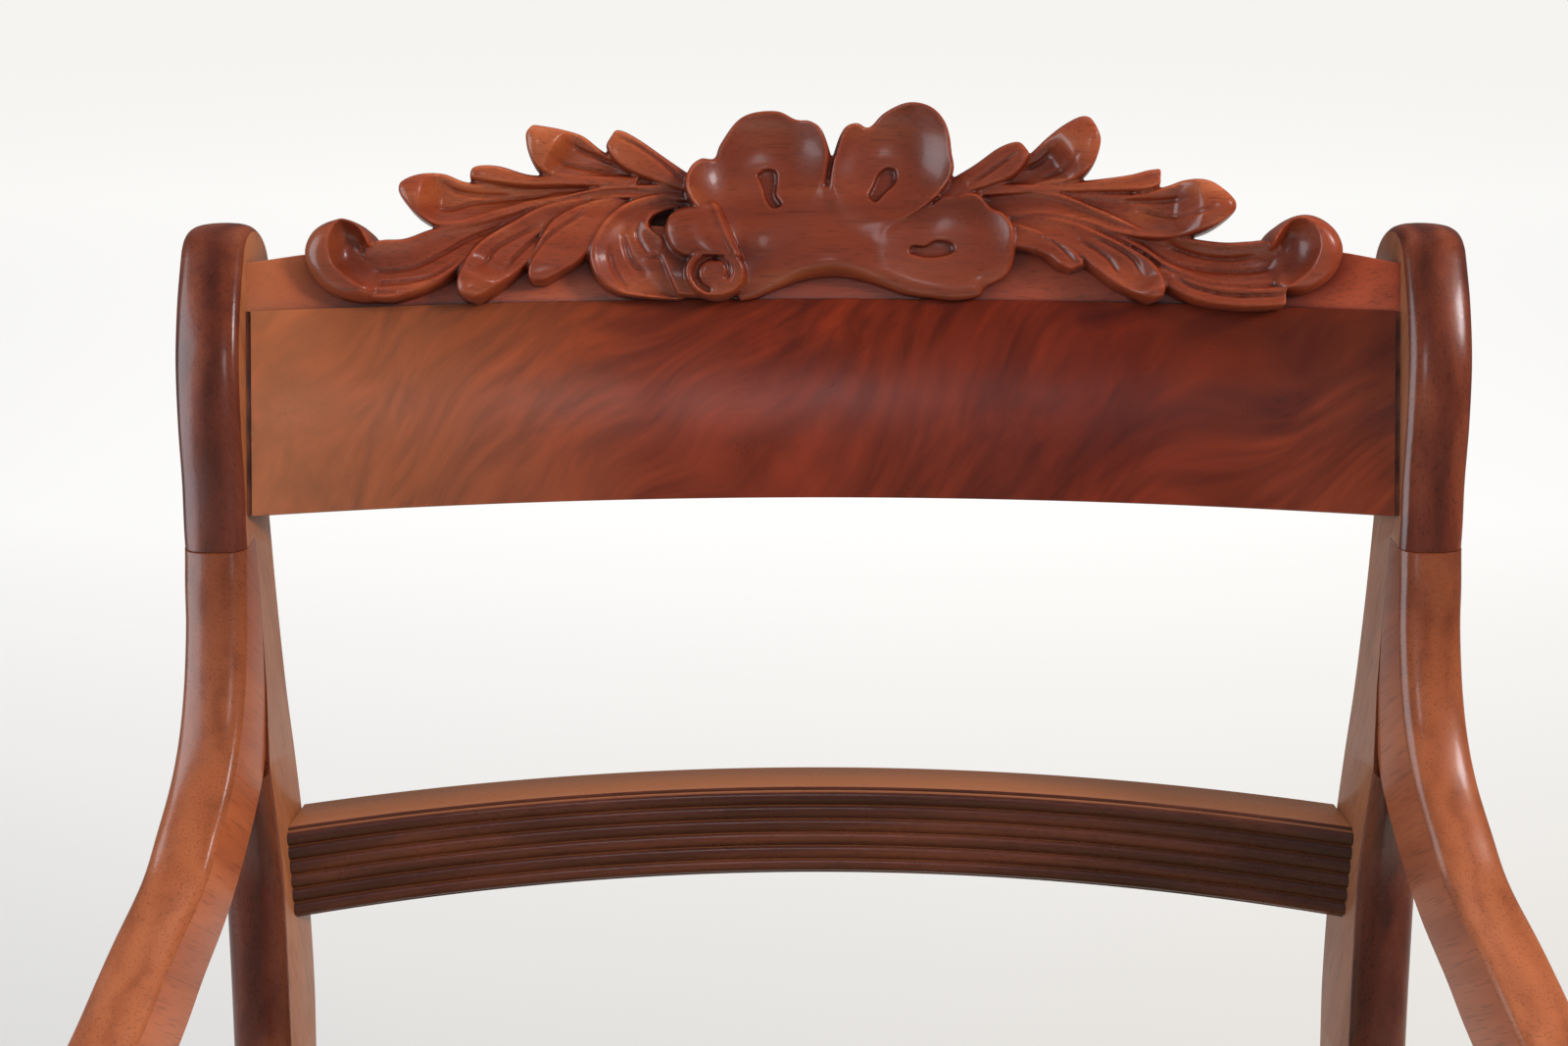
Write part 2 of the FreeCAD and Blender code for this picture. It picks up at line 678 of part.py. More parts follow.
def scroll_roll():
    """The rolled leaf beside the shell, its spiral end turned down to the sitter."""
    relief = size("relief")
    start = on_back(-66 * STEP, 131 * STEP, relief * 0.2)
    stop = on_back(-43 * STEP, 107 * STEP, relief * 0.55)
    run = stop - start
    radius = 10.0 * STEP
    roll = Part.makeCone(radius * 0.6, radius, run.Length, start, run)
    groove = Part.makeCylinder(radius * 0.75, radius * 0.3, stop - run.normalize() * (radius * 0.25), run)
    eye = Part.makeCylinder(radius * 0.45, radius * 0.3, stop - run * (radius * 0.25), run)
    return roll.cut(groove.cut(eye))


def carved_crest():
    pieces = spray(1) + spray(-1)
    pieces.append(blade([
        (-62, 139, 5, 0.8), (-80, 137, 6, 1.0), (-94, 128, 6.5, 1.2), (-99, 115, 6.5, 1.25),
        (-94, 103, 6, 1.1), (-78, 98, 5, 0.8),
    ]))
    pieces.append(scroll_roll())
    pieces.append(petal(
        [(-57, 139), (-59, 150), (-47, 160), (-31, 176), (-12, 174), (1, 167), (3, 152), (-10, 139), (-30, 130)],
        (-24, 156)))
    pieces.append(petal(
        [(7, 158), (10, 171), (26, 176), (43, 179.5), (54, 170), (60, 154), (52, 141), (33, 134), (14, 141)],
        (31, 158)))
    pieces.append(petal(
        [(40, 134), (60, 142), (75, 134), (85, 120), (79, 104), (58, 97), (30, 101), (-2, 105), (14, 121)],
        (48, 118)))
    whole = crest_board().fuse(pieces)
    tall = size("tablet_tall")
    wide = BACK_HALF + 60
    below = front_prism([
        arch(tall, size("arch_top"), BACK_HALF),
        line((-wide, -100, tall), (-BACK_HALF, -100, tall)), line((BACK_HALF, -100, tall), (wide, -100, tall)),
        line((-wide, -100, tall), (-wide, -100, -40)), line((wide, -100, tall), (wide, -100, -40)),
        line((-wide, -100, -40), (wide, -100, -40)),
    ])
    return whole.cut(below).removeSplitter()


# Front legs: square block notched for the seat, turned collars, a reeded shaft and a turned foot

def front_leg(label, side):
    block_foot = RAIL_FOOT - size("block_tail")
    collar = size("collar_radius")
    shaft_top = block_foot - 44.0
    shaft_foot = size("foot_tall")
    half = size("leg_block") / 2
    centre = Vector(side * (size("front_half") - half), FRONT + half, 0)
    body = new_body("body_" + label)
    shaft = []
    for name, up, radius in (("top", shaft_top, size("reeds_top_radius")),
                             ("foot", shaft_foot, size("reeds_foot_radius"))):
        sketch = sketch_on(body, f"reeds_{name}_{label}", "XY_Plane")
        sketch.AttachmentOffset = Placement(Vector(0, 0, up), Rotation())
        count = int(size("leg_reeds"))
        for reed in range(count):
            bent = []
            for part, share in ((0, 0.88), (0.25, 0.985), (0.75, 0.985), (1, 0.88)):
                turn = 2 * math.pi * (reed + part) / count
                bent.append(Vector(share * radius * math.cos(turn), share * radius * math.sin(turn), 0))
            for start, stop in zip(bent[:-1], bent[1:]):
                sketch.addGeometry(Part.LineSegment(start, stop), False)
        shaft.append(sketch)
    loft = body.newObject("PartDesign::AdditiveLoft", "Loft_" + label)
    loft.Profile = shaft[0]
    loft.Sections = [shaft[1]]
    loft.Ruled = True
    body.Tip = loft
    doc.recompute()
    profile = sketch_on(body, "turning_" + label, "XZ_Plane")
    ankle = size("reeds_foot_radius")
    upper = size("reeds_top_radius")
    turning = [
        (0, block_foot), (upper, block_foot), (upper, block_foot - 13), (collar, block_foot - 21),
        (collar, block_foot - 29), (upper, block_foot - 36), (upper, shaft_top), (0, shaft_top),
    ]
    outline(profile, turning)
    collars = body.newObject("PartDesign::Revolution", "Collars_" + label)
    collars.Profile = profile
    collars.ReferenceAxis = (profile, ["V_Axis"])
    collars.Angle = 360
    body.Tip = collars
    doc.recompute()
    ankle_profile = sketch_on(body, "ankle_" + label, "XZ_Plane")
    ankle_turning = [
        (0, shaft_foot), (ankle + 3.5, shaft_foot), (ankle + 3.5, shaft_foot - 8), (ankle - 1, shaft_foot - 14),
        (ankle + 3.5, shaft_foot - 27), (ankle - 2.5, 0), (0, 0),
    ]
    outline(ankle_profile, ankle_turning)
    foot = body.newObject("PartDesign::Revolution", "Foot_" + label)
    foot.Profile = ankle_profile
    foot.ReferenceAxis = (ankle_profile, ["V_Axis"])
    foot.Angle = 360
    body.Tip = foot
    doc.recompute()
    square = sketch_on(body, "block_" + label, "XY_Plane")
    square.AttachmentOffset = Placement(Vector(0, 0, block_foot), Rotation())
    outline(square, [(-half, -half), (half, -half), (half, half), (-half, half)])
    pad(body, square, "dims.rail_depth + dims.block_tail")
    doc.recompute()
    notch = sketch_on(body, "notch_" + label, "XY_Plane")
    notch.AttachmentOffset = Placement(Vector(0, 0, SEAT), Rotation())
    inner = side * (half - size("rail_thick"))
    ahead = size("rail_step") + size("rail_thick") - half
    outline(notch, [(inner, ahead), (-side * 1.2 * half, ahead), (-side * 1.2 * half, 1.2 * half),
                    (inner, 1.2 * half)])
    rebate = body.newObject("PartDesign::Pocket", "Pocket_" + label)
    rebate.Profile = notch
    rebate.setExpression("Length", "dims.bearer_drop")
    body.Tip = rebate
    body.Placement = Placement(centre, Rotation())
    return keep(label, body)


# The drop-in seat

def seat_edge(grow):
    """The plan of the seat's frame, grown outwards by a distance."""
    inset = size("seat_gap") + size("cover_thick") + size("soft_gap") - grow
    front = FRONT_INNER + inset
    back = STILE - inset
    return [
        (-(rail_inside(front) - inset), front), (rail_inside(front) - inset, front),
        (rail_inside(back) - inset, back), (-(rail_inside(back) - inset), back),
    ]


def seat_side(y):
    """Half the width of the seat's frame at a place from front to back."""
    inset = size("seat_gap") + size("cover_thick") + size("soft_gap")
    return rail_inside(y) - inset


def seat_member_points():
    """Plans of the four members of the seat's frame."""
    edge = seat_edge(0)
    front = edge[0][1]
    back = edge[2][1]
    wide = size("frame_wide")
    across_front = [(-seat_side(front), front), (seat_side(front), front),
                    (seat_side(front + wide), front + wide), (-seat_side(front + wide), front + wide)]
    across_back = [(-seat_side(back - wide), back - wide), (seat_side(back - wide), back - wide),
                   (seat_side(back), back), (-seat_side(back), back)]
    along = [(seat_side(front + wide) - wide, front + wide), (seat_side(front + wide), front + wide),
             (seat_side(back - wide), back - wide), (seat_side(back - wide) - wide, back - wide)]
    corner = size("pad_corner")
    return round_corners(across_front, corner, (0, 1)), round_corners(across_back, corner, (2, 3)), along


FRAME_FOOT = BEARER_TOP + size("cover_thick")
FRAME_TOP = FRAME_FOOT + size("frame_tall")
WEB_TOP = FRAME_TOP + 2 * size("web_thick")
PAD_FOOT = WEB_TOP + size("hessian_thick")


def round_corners(points, radius, which=(0, 1, 2, 3)):
    """A plan with the chosen corners rounded in three flats each."""
    corners = [Vector(x, y, 0) for x, y in points]
    ring = []
    for index, here in enumerate(corners):
        if index not in which:
            ring.append((here.x, here.y))
            continue
        into = (here - corners[index - 1]).normalize()
        away = (corners[(index + 1) % len(corners)] - here).normalize()
        for before, after in ((1, 0), (0.5, 0.134), (0.134, 0.5), (0, 1)):
            eased = here - into * (radius * before) + away * (radius * after)
            ring.append((eased.x, eased.y))
    return ring


def rounded_plan(points, up, radius):
    return [Vector(x, y, up) for x, y in round_corners(points, radius)]


def stacked(rings):
    """A solid between plans whose sides stay parallel from one height to the next."""
    faces = [Part.Face(Part.makePolygon(ring + ring[:1])) for ring in (rings[0], rings[-1])]
    for lower, upper in zip(rings[:-1], rings[1:]):
        for index in range(len(lower)):
            after = (index + 1) % len(lower)
            corners = [lower[index], lower[after], upper[after], upper[index]]
            faces.append(Part.Face(Part.makePolygon(corners + corners[:1])))
    shell = Part.makeShell(faces)
    made = Part.makeSolid(shell)
    if made.Volume < 0:
        made.reverse()
    return made


def inset_plan(distance):
    return seat_edge(-distance)


# Share of the crown's height, and share of the way in to the middle that the stuffing has drawn in
PAD_LEVELS = [(0.0, 0.0), (0.20, 0.003), (0.40, 0.02), (0.57, 0.06), (0.72, 0.13), (0.86, 0.25),
              (0.96, 0.42), (1.0, 0.61)]


def pad_form(grow):
    """The crowned stuffing, grown evenly by a distance."""
    edge = seat_edge(0)
    half_deep = (edge[2][1] - edge[0][1]) / 2
    rings = []
    for share, drawn_in in PAD_LEVELS:
        inset = drawn_in * half_deep
        up = PAD_FOOT + share * size("pad_crown") + grow * min(1.0, share * 2)
        corner = size("pad_corner") + 0.3 * inset + grow
        rings.append(rounded_plan(inset_plan(inset - grow), up, corner))
    return stacked(rings)


def flat_prism(points, low, high):
    corners = [Vector(x, y, low) for x, y in points]
    return Part.Face(Part.makePolygon(corners + corners[:1])).extrude(Vector(0, 0, high - low))


def corner_prism(grow, low, high):
    """The seat's rounded plan as a prism."""
    corner = size("pad_corner") + grow
    return stacked([rounded_plan(inset_plan(-grow), up, corner) for up in (low, high)])


def seat_cover():
    """The cover: over the crown, down the sides and turned under the frame."""
    inner = size("soft_gap")
    outer = inner + size("cover_thick")
    skin = pad_form(outer).fuse(corner_prism(outer, BEARER_TOP, PAD_FOOT))
    hollow = pad_form(inner).fuse(corner_prism(inner, FRAME_FOOT, PAD_FOOT))
    mouth = flat_prism(inset_plan(size("hem_wide")), BEARER_TOP - 1, FRAME_FOOT + 1)
    return skin.cut(hollow.fuse(mouth))


def webbing(across):
    """Three strips of webbing, either front to back or side to side."""
    edge = seat_edge(0)
    front = edge[0][1] + 10.0
    back = edge[2][1] - 10.0
    wide = size("web_wide")
    shapes = []
    for step in (-1, 0, 1):
        if across:
            y = (front + back) / 2 + step * (back - front) / 3.6
            half = seat_side(y + wide / 2) - 10.0
            points = [(-half, y - wide / 2), (half, y - wide / 2), (half, y + wide / 2), (-half, y + wide / 2)]
            low = FRAME_TOP + size("web_thick")
        else:
            x = step * seat_side(back) / 1.9
            points = [(x - wide / 2, front), (x + wide / 2, front), (x + wide / 2, back), (x - wide / 2, back)]
            low = FRAME_TOP
        shapes.append(flat_prism(points, low, low + size("web_thick")))
    return Part.makeCompound(shapes)


def faceted(radius, length, foot, aim):
    """An eight-sided pin from its foot along its aim."""
    across = aim.cross(Vector(0.3, 0.2, 1.0)).normalize()
    beside = aim.cross(across)
    ring = []
    for step in range(8):
        turn = math.pi * step / 4
        ring.append(foot + across * (radius * math.cos(turn)) + beside * (radius * math.sin(turn)))
    return Part.Face(Part.makePolygon(ring + ring[:1])).extrude(aim * length)


# Corner blocks, and the screws that hold the arm supports

def block_plan(front, side):
    run = size("block_run")
    if front:
        inner = size("front_half") - size("leg_block")
        points = [
            (inner - run, FRONT_INNER), (inner, FRONT_INNER), (inner, LEG_BACK), (rail_inside(LEG_BACK), LEG_BACK),
            (rail_inside(LEG_BACK + run), LEG_BACK + run),
        ]
    else:
        points = [
            (BACK_HALF - run, BACK_RAIL_FRONT), (BACK_HALF, BACK_RAIL_FRONT), (BACK_HALF, STILE),
            (rail_inside(STILE), STILE), (rail_inside(STILE - run), STILE - run),
        ]
    return mirrored(points, side)


def wood_screw(head, aim, length):
    """A round-headed wood screw from its head along its aim."""
    aim = aim.normalize()
    crown = faceted(size("screw_head"), 2.0, head - aim * 2.0, aim)
    return crown.fuse(faceted(size("screw_radius"), length, head, aim))


def support_screw_list():
    """Two screws from inside each side rail into the foot of the arm support."""
    screws = []
    for side in (-1, 1):
        for share in (0.63, 0.85):
            y = STILE - 262 * STEP
            up = SEAT - share * size("rail_depth")
            screws.append((Vector(side * rail_inside(y), y, up), Vector(side, 0, 0), 1.6 * size("rail_thick")))
    return screws


def screw_group(screws):
    return Part.makeCompound([wood_screw(*screw) for screw in screws])


# Build every piece

def build_back():
    arm_shape = arm()
    leg = rear_leg(arm_shape)
    support_shape = support(arm_shape)
    screws = helper("support_bores", screw_group(support_screw_list()))
    for side, name in ((1, "left"), (-1, "right")):
        solid("rear_leg_" + name, to_side(leg, side))
        solid("arm_" + name, to_side(arm_shape, side))
        post = helper("blank_arm_support_" + name, to_side(support_shape, side))
        cut("arm_support_" + name, post, screws)
    core = solid("tablet_rail", tablet_piece(-size("veneer_thick"), -size("tablet_thick")))
    raked(core, "tablet_back", "tablet_rise", "rake")
    veneer = solid("tablet_veneer", tablet_piece(0, -size("veneer_thick")))
    raked(veneer, "tablet_back", "tablet_rise", "rake")
    crest = solid("carved_crest", carved_crest())
    raked(crest, "tablet_back", "tablet_rise", "rake")
    reeded_rail()
    solid("support_screws", screws.Shape.copy())
    return screws


def build_seat_frame(support_bores):
    board("front_rail", "-(dims.front_half - dims.leg_block)", "-dims.front_reach + dims.rail_step",
          "dims.seat_height - dims.rail_depth", "2 * (dims.front_half - dims.leg_block)",
          "dims.rail_thick", "dims.rail_depth")
    board("back_rail", "-dims.back_half", "dims.stile_front + dims.back_rail_set", "dims.seat_height - dims.rail_depth",
          "2 * dims.back_half", "dims.rail_thick", "dims.rail_depth")
    for side, name in ((1, "left"), (-1, "right")):
        front_leg("front_leg_" + name, side)
        rail = plank("blank_side_rail_" + name, mirrored([
            (rail_inside(LEG_BACK), LEG_BACK), (rail_face(LEG_BACK), LEG_BACK),
            (STILE_OUT, STILE), (rail_inside(STILE), STILE)], side),
            "dims.seat_height - dims.rail_depth", "dims.rail_depth")
        del nodes["blank_side_rail_" + name]
        cut("side_rail_" + name, rail, support_bores)
        for is_front, end in ((True, "front"), (False, "back")):
            plank(f"corner_block_{end}_{name}", block_plan(is_front, side),
                  "dims.seat_height - dims.bearer_drop - dims.block_drop - dims.block_tall",
                  "dims.block_tall")


def build_bearers():
    foot = "dims.seat_height - dims.bearer_drop - dims.bearer_tall"
    tall = "dims.bearer_tall"
    wide = size("bearer_wide")
    run = size("block_run")
    front_half = size("front_half") - size("leg_block") - run
    back_half = BACK_HALF - run
    plank("bearer_front", [(-front_half, FRONT_INNER), (front_half, FRONT_INNER),
                           (front_half, FRONT_INNER + wide), (-front_half, FRONT_INNER + wide)], foot, tall)
    plank("bearer_back", [(-back_half, BACK_RAIL_FRONT - wide), (back_half, BACK_RAIL_FRONT - wide),
                          (back_half, BACK_RAIL_FRONT), (-back_half, BACK_RAIL_FRONT)], foot, tall)
    start = LEG_BACK + run
    stop = STILE - run
    for side, name in ((1, "left"), (-1, "right")):
        plank("bearer_" + name, mirrored([
            (rail_inside(start) - wide, start), (rail_inside(start), start),
            (rail_inside(stop), stop), (rail_inside(stop) - wide, stop)], side), foot, tall)


def build_seat():
    across_front, across_back, along = seat_member_points()
    foot = "dims.seat_height - dims.bearer_drop + dims.cover_thick"
    plank("seat_frame_front", across_front, foot, "dims.frame_tall")
    plank("seat_frame_back", across_back, foot, "dims.frame_tall")
    plank("seat_frame_left", along, foot, "dims.frame_tall")
    plank("seat_frame_right", mirrored(along, -1), foot, "dims.frame_tall")
    solid("webbing_lengthwise", webbing(False))
    solid("webbing_crosswise", webbing(True))
    plank("hessian", inset_plan(8.0), "dims.seat_height - dims.bearer_drop + dims.cover_thick"
          " + dims.frame_tall + 2 * dims.web_thick", "dims.hessian_thick")
    solid("seat_stuffing", pad_form(0))
    solid("seat_cover", seat_cover())
    plank("dust_cover", inset_plan(0.7 * size("hem_wide")),
          "dims.seat_height - dims.bearer_drop - dims.dust_thick", "dims.dust_thick")


build_seat_frame(build_back())
build_bearers()
build_seat()
doc.recompute()


# Every object must be sound before anything is written

for item in doc.Objects:
    if "Invalid" in item.State or "Error" in item.State:
        raise RuntimeError("failed object: " + item.Label)
for label, made in nodes.items():
    shape = made.Shape
    if shape.isNull() or not shape.isValid() or not shape.Solids:
        raise RuntimeError("unsound shape: " + label)
os.makedirs("parts", exist_ok=True)
for label, made in nodes.items():
    made.Shape.exportStep(f"parts/{label}.step")
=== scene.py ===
import math

import bmesh
import bpy
import numpy as np
from bpy.props import FloatProperty, FloatVectorProperty, IntProperty, PointerProperty
from mathutils import Matrix, Vector


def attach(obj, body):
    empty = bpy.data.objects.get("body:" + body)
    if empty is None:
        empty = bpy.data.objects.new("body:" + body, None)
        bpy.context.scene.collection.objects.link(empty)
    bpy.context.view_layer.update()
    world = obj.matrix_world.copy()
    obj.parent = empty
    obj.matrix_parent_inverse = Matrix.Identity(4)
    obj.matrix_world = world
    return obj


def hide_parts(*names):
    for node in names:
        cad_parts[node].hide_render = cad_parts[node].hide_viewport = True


bl_info = {
    "name": "Carved mahogany armchair",
    "version": (1, 0, 0),
    "blender": (4, 5, 0),
    "location": "View3D > Sidebar > Armchair",
    "description": "Finishes an open mahogany armchair with a carved crest and a drop-in seat",
    "category": "Object",
}

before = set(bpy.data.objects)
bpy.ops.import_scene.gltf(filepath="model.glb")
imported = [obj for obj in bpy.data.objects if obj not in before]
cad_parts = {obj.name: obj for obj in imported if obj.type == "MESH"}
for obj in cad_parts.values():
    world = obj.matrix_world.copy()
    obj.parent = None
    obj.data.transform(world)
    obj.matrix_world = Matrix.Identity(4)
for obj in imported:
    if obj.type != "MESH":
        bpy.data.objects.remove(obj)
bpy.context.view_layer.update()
MM = 0.001


def srgb(*chart):
    """A colour picked on a 0 to 255 chart, as the linear values that a shader takes."""
    shares = [part / 255 for part in chart]
    return tuple(share / 12.92 if share <= 0.04045 else ((share + 0.055) / 1.055) ** 2.4 for share in shares)


def colour_prop(name, description, default):
    return FloatVectorProperty(name=name, description=description, subtype="COLOR", size=3,
                               min=0.0, max=1.0, default=default)


def length_prop(name, description, default):
    return FloatProperty(name=name, description=description, default=default, unit="LENGTH")


class ArmchairSizes(bpy.types.PropertyGroup):
    back_half: length_prop("Half width of the back", "Half the width between the stiles", 0.2424)
    stile_wide: length_prop("Stile width", "Width of a stile or arm", 0.027)
    hollow: length_prop("Hollow", "How deep the back is hollowed across its width", 0.042)
    rake: FloatProperty(name="Rake", description="How far the tablet and crest lean back",
                        default=math.radians(26.0), subtype="ANGLE")
    relief: length_prop("Relief", "How far the carving stands out from its board", 0.010)
    crown: length_prop("Rounded front", "Rise of the rounded front of a stile or arm", 0.0045)
    reeds: IntProperty(name="Reeds", description="Number of reeds on the mid rail", default=6, min=1, max=12)
    swell: length_prop("Seat swell", "How far the stuffed seat may swell", 0.005)


class ArmchairFinish(bpy.types.PropertyGroup):
    wood_dark: colour_prop("Mahogany, dark", "Darkest streak of the polished mahogany", srgb(52, 20, 13))
    wood_mid: colour_prop("Mahogany", "Main colour of the polished mahogany", srgb(104, 46, 30))
    wood_light: colour_prop("Mahogany, light", "Lightest streak of the polished mahogany", srgb(146, 76, 48))
    flame_dark: colour_prop("Flame, dark", "Dark feathers of the flame veneer", srgb(72, 24, 13))
    flame_light: colour_prop("Flame, light", "Bright feathers of the flame veneer", srgb(158, 72, 38))
    arm_light: colour_prop("Arms, light", "Light rings where the arms are faded", srgb(190, 112, 72))
    polish: FloatProperty(name="Polish roughness", description="Roughness of the French polish", default=0.27,
                          min=0.02, max=1.0, subtype="FACTOR")
    cover: colour_prop("Seat cover", "Ground colour of the woven seat cover", srgb(84, 98, 70))
    cover_stripe: colour_prop("Seat stripe", "Colour of the stripes in the seat cover", srgb(134, 140, 98))


def sizes():
    return bpy.context.scene.armchair_sizes


def finish():
    return bpy.context.scene.armchair_finish


# Curves and meshes

def smooth_run(points, steps):
    """Points on a smooth curve through the given ones, the same number between each two."""
    run = []
    last = len(points) - 1
    for index in range(last):
        near = [points[min(max(place, 0), last)] for place in range(index - 1, index + 3)]
        for step in range(steps):
            t = step / steps
            run.append(tuple(
                0.5 * (2 * b + (c - a) * t + (2 * a - 5 * b + 4 * c - d) * t ** 2
                       + (3 * b - a - 3 * c + d) * t ** 3)
                for a, b, c, d in zip(*near)))
    run.append(tuple(points[-1]))
    return run


def evenly(points, count):
    """Points at even distances along a smooth curve through the given ones."""
    fine = [Vector(point) for point in smooth_run(points, 24)]
    walked = [0.0]
    for start, stop in zip(fine[:-1], fine[1:]):
        walked.append(walked[-1] + (stop - start).length)
    spaced = []
    at = 0
    for index in range(count):
        goal = walked[-1] * index / (count - 1)
        while at < len(walked) - 2 and walked[at + 1] < goal:
            at += 1
        share = (goal - walked[at]) / max(walked[at + 1] - walked[at], 1e-9)
        spaced.append(fine[at].lerp(fine[at + 1], min(1.0, share)))
    return spaced


def mix(share, low, high):
    return low + (high - low) * share


def ease(low, high, value):
    """0 below low, 1 above high, and a smooth rise between them."""
    share = np.clip((value - low) / (high - low), 0.0, 1.0)
    return share * share * (3 - 2 * share)


def placed(name, data):
    """A new object in the scene."""
    made = bpy.data.objects.new(name, data)
    bpy.context.scene.collection.objects.link(made)
    return made


def make_piece(name, points, faces, finish_name=None, body="frame", replaces=(), slot="mahogany"):
    """A mesh object that rides on a body of the chair."""
    mesh = bpy.data.meshes.new(name)
    mesh.from_pydata([tuple(point) for point in points], [], faces)
    mesh.validate()
    shaper = bmesh.new()
    shaper.from_mesh(mesh)
    bmesh.ops.recalc_face_normals(shaper, faces=shaper.faces)
    shaper.to_mesh(mesh)
    shaper.free()
    shade_smooth(mesh)
    if finish_name:
        mesh.materials.append(material(finish_name))
    piece = placed(name, mesh)
    if body:
        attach(piece, body)
    if replaces:
        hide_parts(*replaces)
    return piece


def scratch_piece(name, points, faces):
    """A mesh object that serves the making only."""
    return make_piece(name, points, faces, body=None, slot=None)


def plain_mesh(piece):
    """The points and faces of a piece."""
    return [v.co.copy() for v in piece.data.vertices], [tuple(face.vertices) for face in piece.data.polygons]


def apply_modifiers(piece):
    """Turn a piece's modifiers into plain mesh."""
    graph = bpy.context.evaluated_depsgraph_get()
    made = bpy.data.meshes.new_from_object(piece.evaluated_get(graph))
    old = piece.data
    piece.modifiers.clear()
    piece.data = made
    made.name = piece.name
    bpy.data.meshes.remove(old)


def shade_smooth(mesh):
    mesh.polygons.foreach_set("use_smooth", [True] * len(mesh.polygons))


def shade_by_angle(piece, degrees):
    """Smooth faces with crisp edges where the surface turns sharply."""
    shade_smooth(piece.data)
    piece.data.set_sharp_from_angle(angle=math.radians(degrees))


def ease_edges(piece, width):
    """Take the sharpness off the edges, as hand and cloth do."""
    bevel = piece.modifiers.new("eased edges", "BEVEL")
    bevel.width = width
    bevel.segments = 2
    bevel.limit_method = "ANGLE"
    bevel.angle_limit = math.radians(38)
    bevel.harden_normals = False


def voxels(piece, name, size):
    """A modifier that builds a piece's surface anew from small cubes."""
    remesh = piece.modifiers.new(name, "REMESH")
    remesh.mode = "VOXEL"
    remesh.voxel_size = size
    return remesh


def tube_faces(rows, count):
    """Four-sided faces between rings of the same number of points."""
    faces = []
    for row in range(rows - 1):
        for index in range(count):
            after = (index + 1) % count
            faces.append((row * count + index, row * count + after,
                          (row + 1) * count + after, (row + 1) * count + index))
    return faces


def lofted(rings):
    """Points and faces of a tube through rings of equal length, closed at both ends."""
    points = [point for ring in rings for point in ring]
    count = len(rings[0])
    last = (len(rings) - 1) * count
    ends = [tuple(range(count)), tuple(range(last, last + count))]
    return points, tube_faces(len(rings), count) + ends


def joined(parts):
    """Several point and face lists as one."""
    points = []
    faces = []
    for part_points, part_faces in parts:
        offset = len(points)
        points += list(part_points)
        faces += [tuple(index + offset for index in face) for face in part_faces]
    return points, faces


def prism(name, outline, x_low, x_high):
    """A cutter across the chair over an outline in the side view."""
    return scratch_piece(name, *lofted([[(x, y, z) for y, z in outline] for x in (x_low, x_high)]))


def cut_away(piece, cutter):
    """Saw the cutter's shape out of a piece, then throw the cutter away."""
    saw = piece.modifiers.new("saw", "BOOLEAN")
    saw.operation = "DIFFERENCE"
    saw.solver = "EXACT"
    saw.object = cutter
    apply_modifiers(piece)
    bpy.data.objects.remove(cutter)


# Materials

def blank_tree(holder, kind):
    """The emptied shader tree of a material or world, and where its surface goes."""
    holder.use_nodes = True
    tree = holder.node_tree
    tree.nodes.clear()
    return tree, node(tree, kind).inputs["Surface"]


def new_material(name):
    made = bpy.data.materials.new(name)
    tree, surface = blank_tree(made, "OutputMaterial")
    shader = node(tree, "BsdfPrincipled")
    tree.links.new(shader.outputs["BSDF"], surface)
    return made, tree, shader


def put(tree, value, socket):
    """Give an input a plain value, or link another node's output to it."""
    if isinstance(value, bpy.types.NodeSocket):
        tree.links.new(value, socket)
    else:
        socket.default_value = value


def node(tree, kind, sockets=None, **settings):
    """A shader node with its settings and the values or links of its sockets."""
    made = tree.nodes.new("ShaderNode" + kind)
    for key, value in settings.items():
        setattr(made, key, value)
    for key, value in (sockets or {}).items():
        put(tree, value, made.inputs[key])
    return made


def grey(value):
    return (value, value, value)


def ramp(tree, factor, *stops):
    """A colour ramp: each stop is its place and a colour, or its place and how light a grey."""
    made = node(tree, "ValToRGB", {"Fac": factor})
    bar = made.color_ramp.elements
    bar.remove(bar[-1])
    for index, (place, colour) in enumerate(stops):
        stop = bar.new(place) if index else bar[0]
        stop.position = place
        stop.color = (*(grey(colour) if isinstance(colour, float) else colour), 1.0)
    return made.outputs["Color"]


def blend_colour(tree, kind, factor, first, second):
    made = node(tree, "Mix", {0: factor, 6: first}, data_type="RGBA", blend_type=kind, clamp_result=True)
    put(tree, second if isinstance(second, bpy.types.NodeSocket) else (*second, 1.0), made.inputs[7])
    return made.outputs[2]


def darkened(tree, colour, strength, value, *stops):
    """A colour multiplied by a ramp over some value."""
    return blend_colour(tree, "MULTIPLY", strength, colour, ramp(tree, value, *stops))


def maths(tree, operation, *values):
    return node(tree, "Math", dict(enumerate(values)), operation=operation).outputs[0]


def weighed(tree, first, share, second, other_share):
    """Two values, each times its share, added up."""
    parts = [maths(tree, "MULTIPLY", *pair) for pair in ((first, share), (second, other_share))]
    return maths(tree, "ADD", *parts)


def stretch(tree, value, low, high, at_low=0.0, at_high=1.0):
    """Map a range of values to another range."""
    return node(tree, "MapRange", {"Value": value, 1: low, 2: high, 3: at_low, 4: at_high}).outputs[0]


def object_space(tree):
    return node(tree, "TexCoord").outputs["Object"]


def axis(tree, vector, name):
    return node(tree, "SeparateXYZ", {0: vector}).outputs[name]


def noise(tree, space, scale, detail=2.0, rough=0.5, distort=0.0, output="Fac"):
    return node(tree, "TexNoise", {"Vector": space, "Scale": scale, "Detail": detail, "Roughness": rough,
                                   "Distortion": distort}).outputs[output]


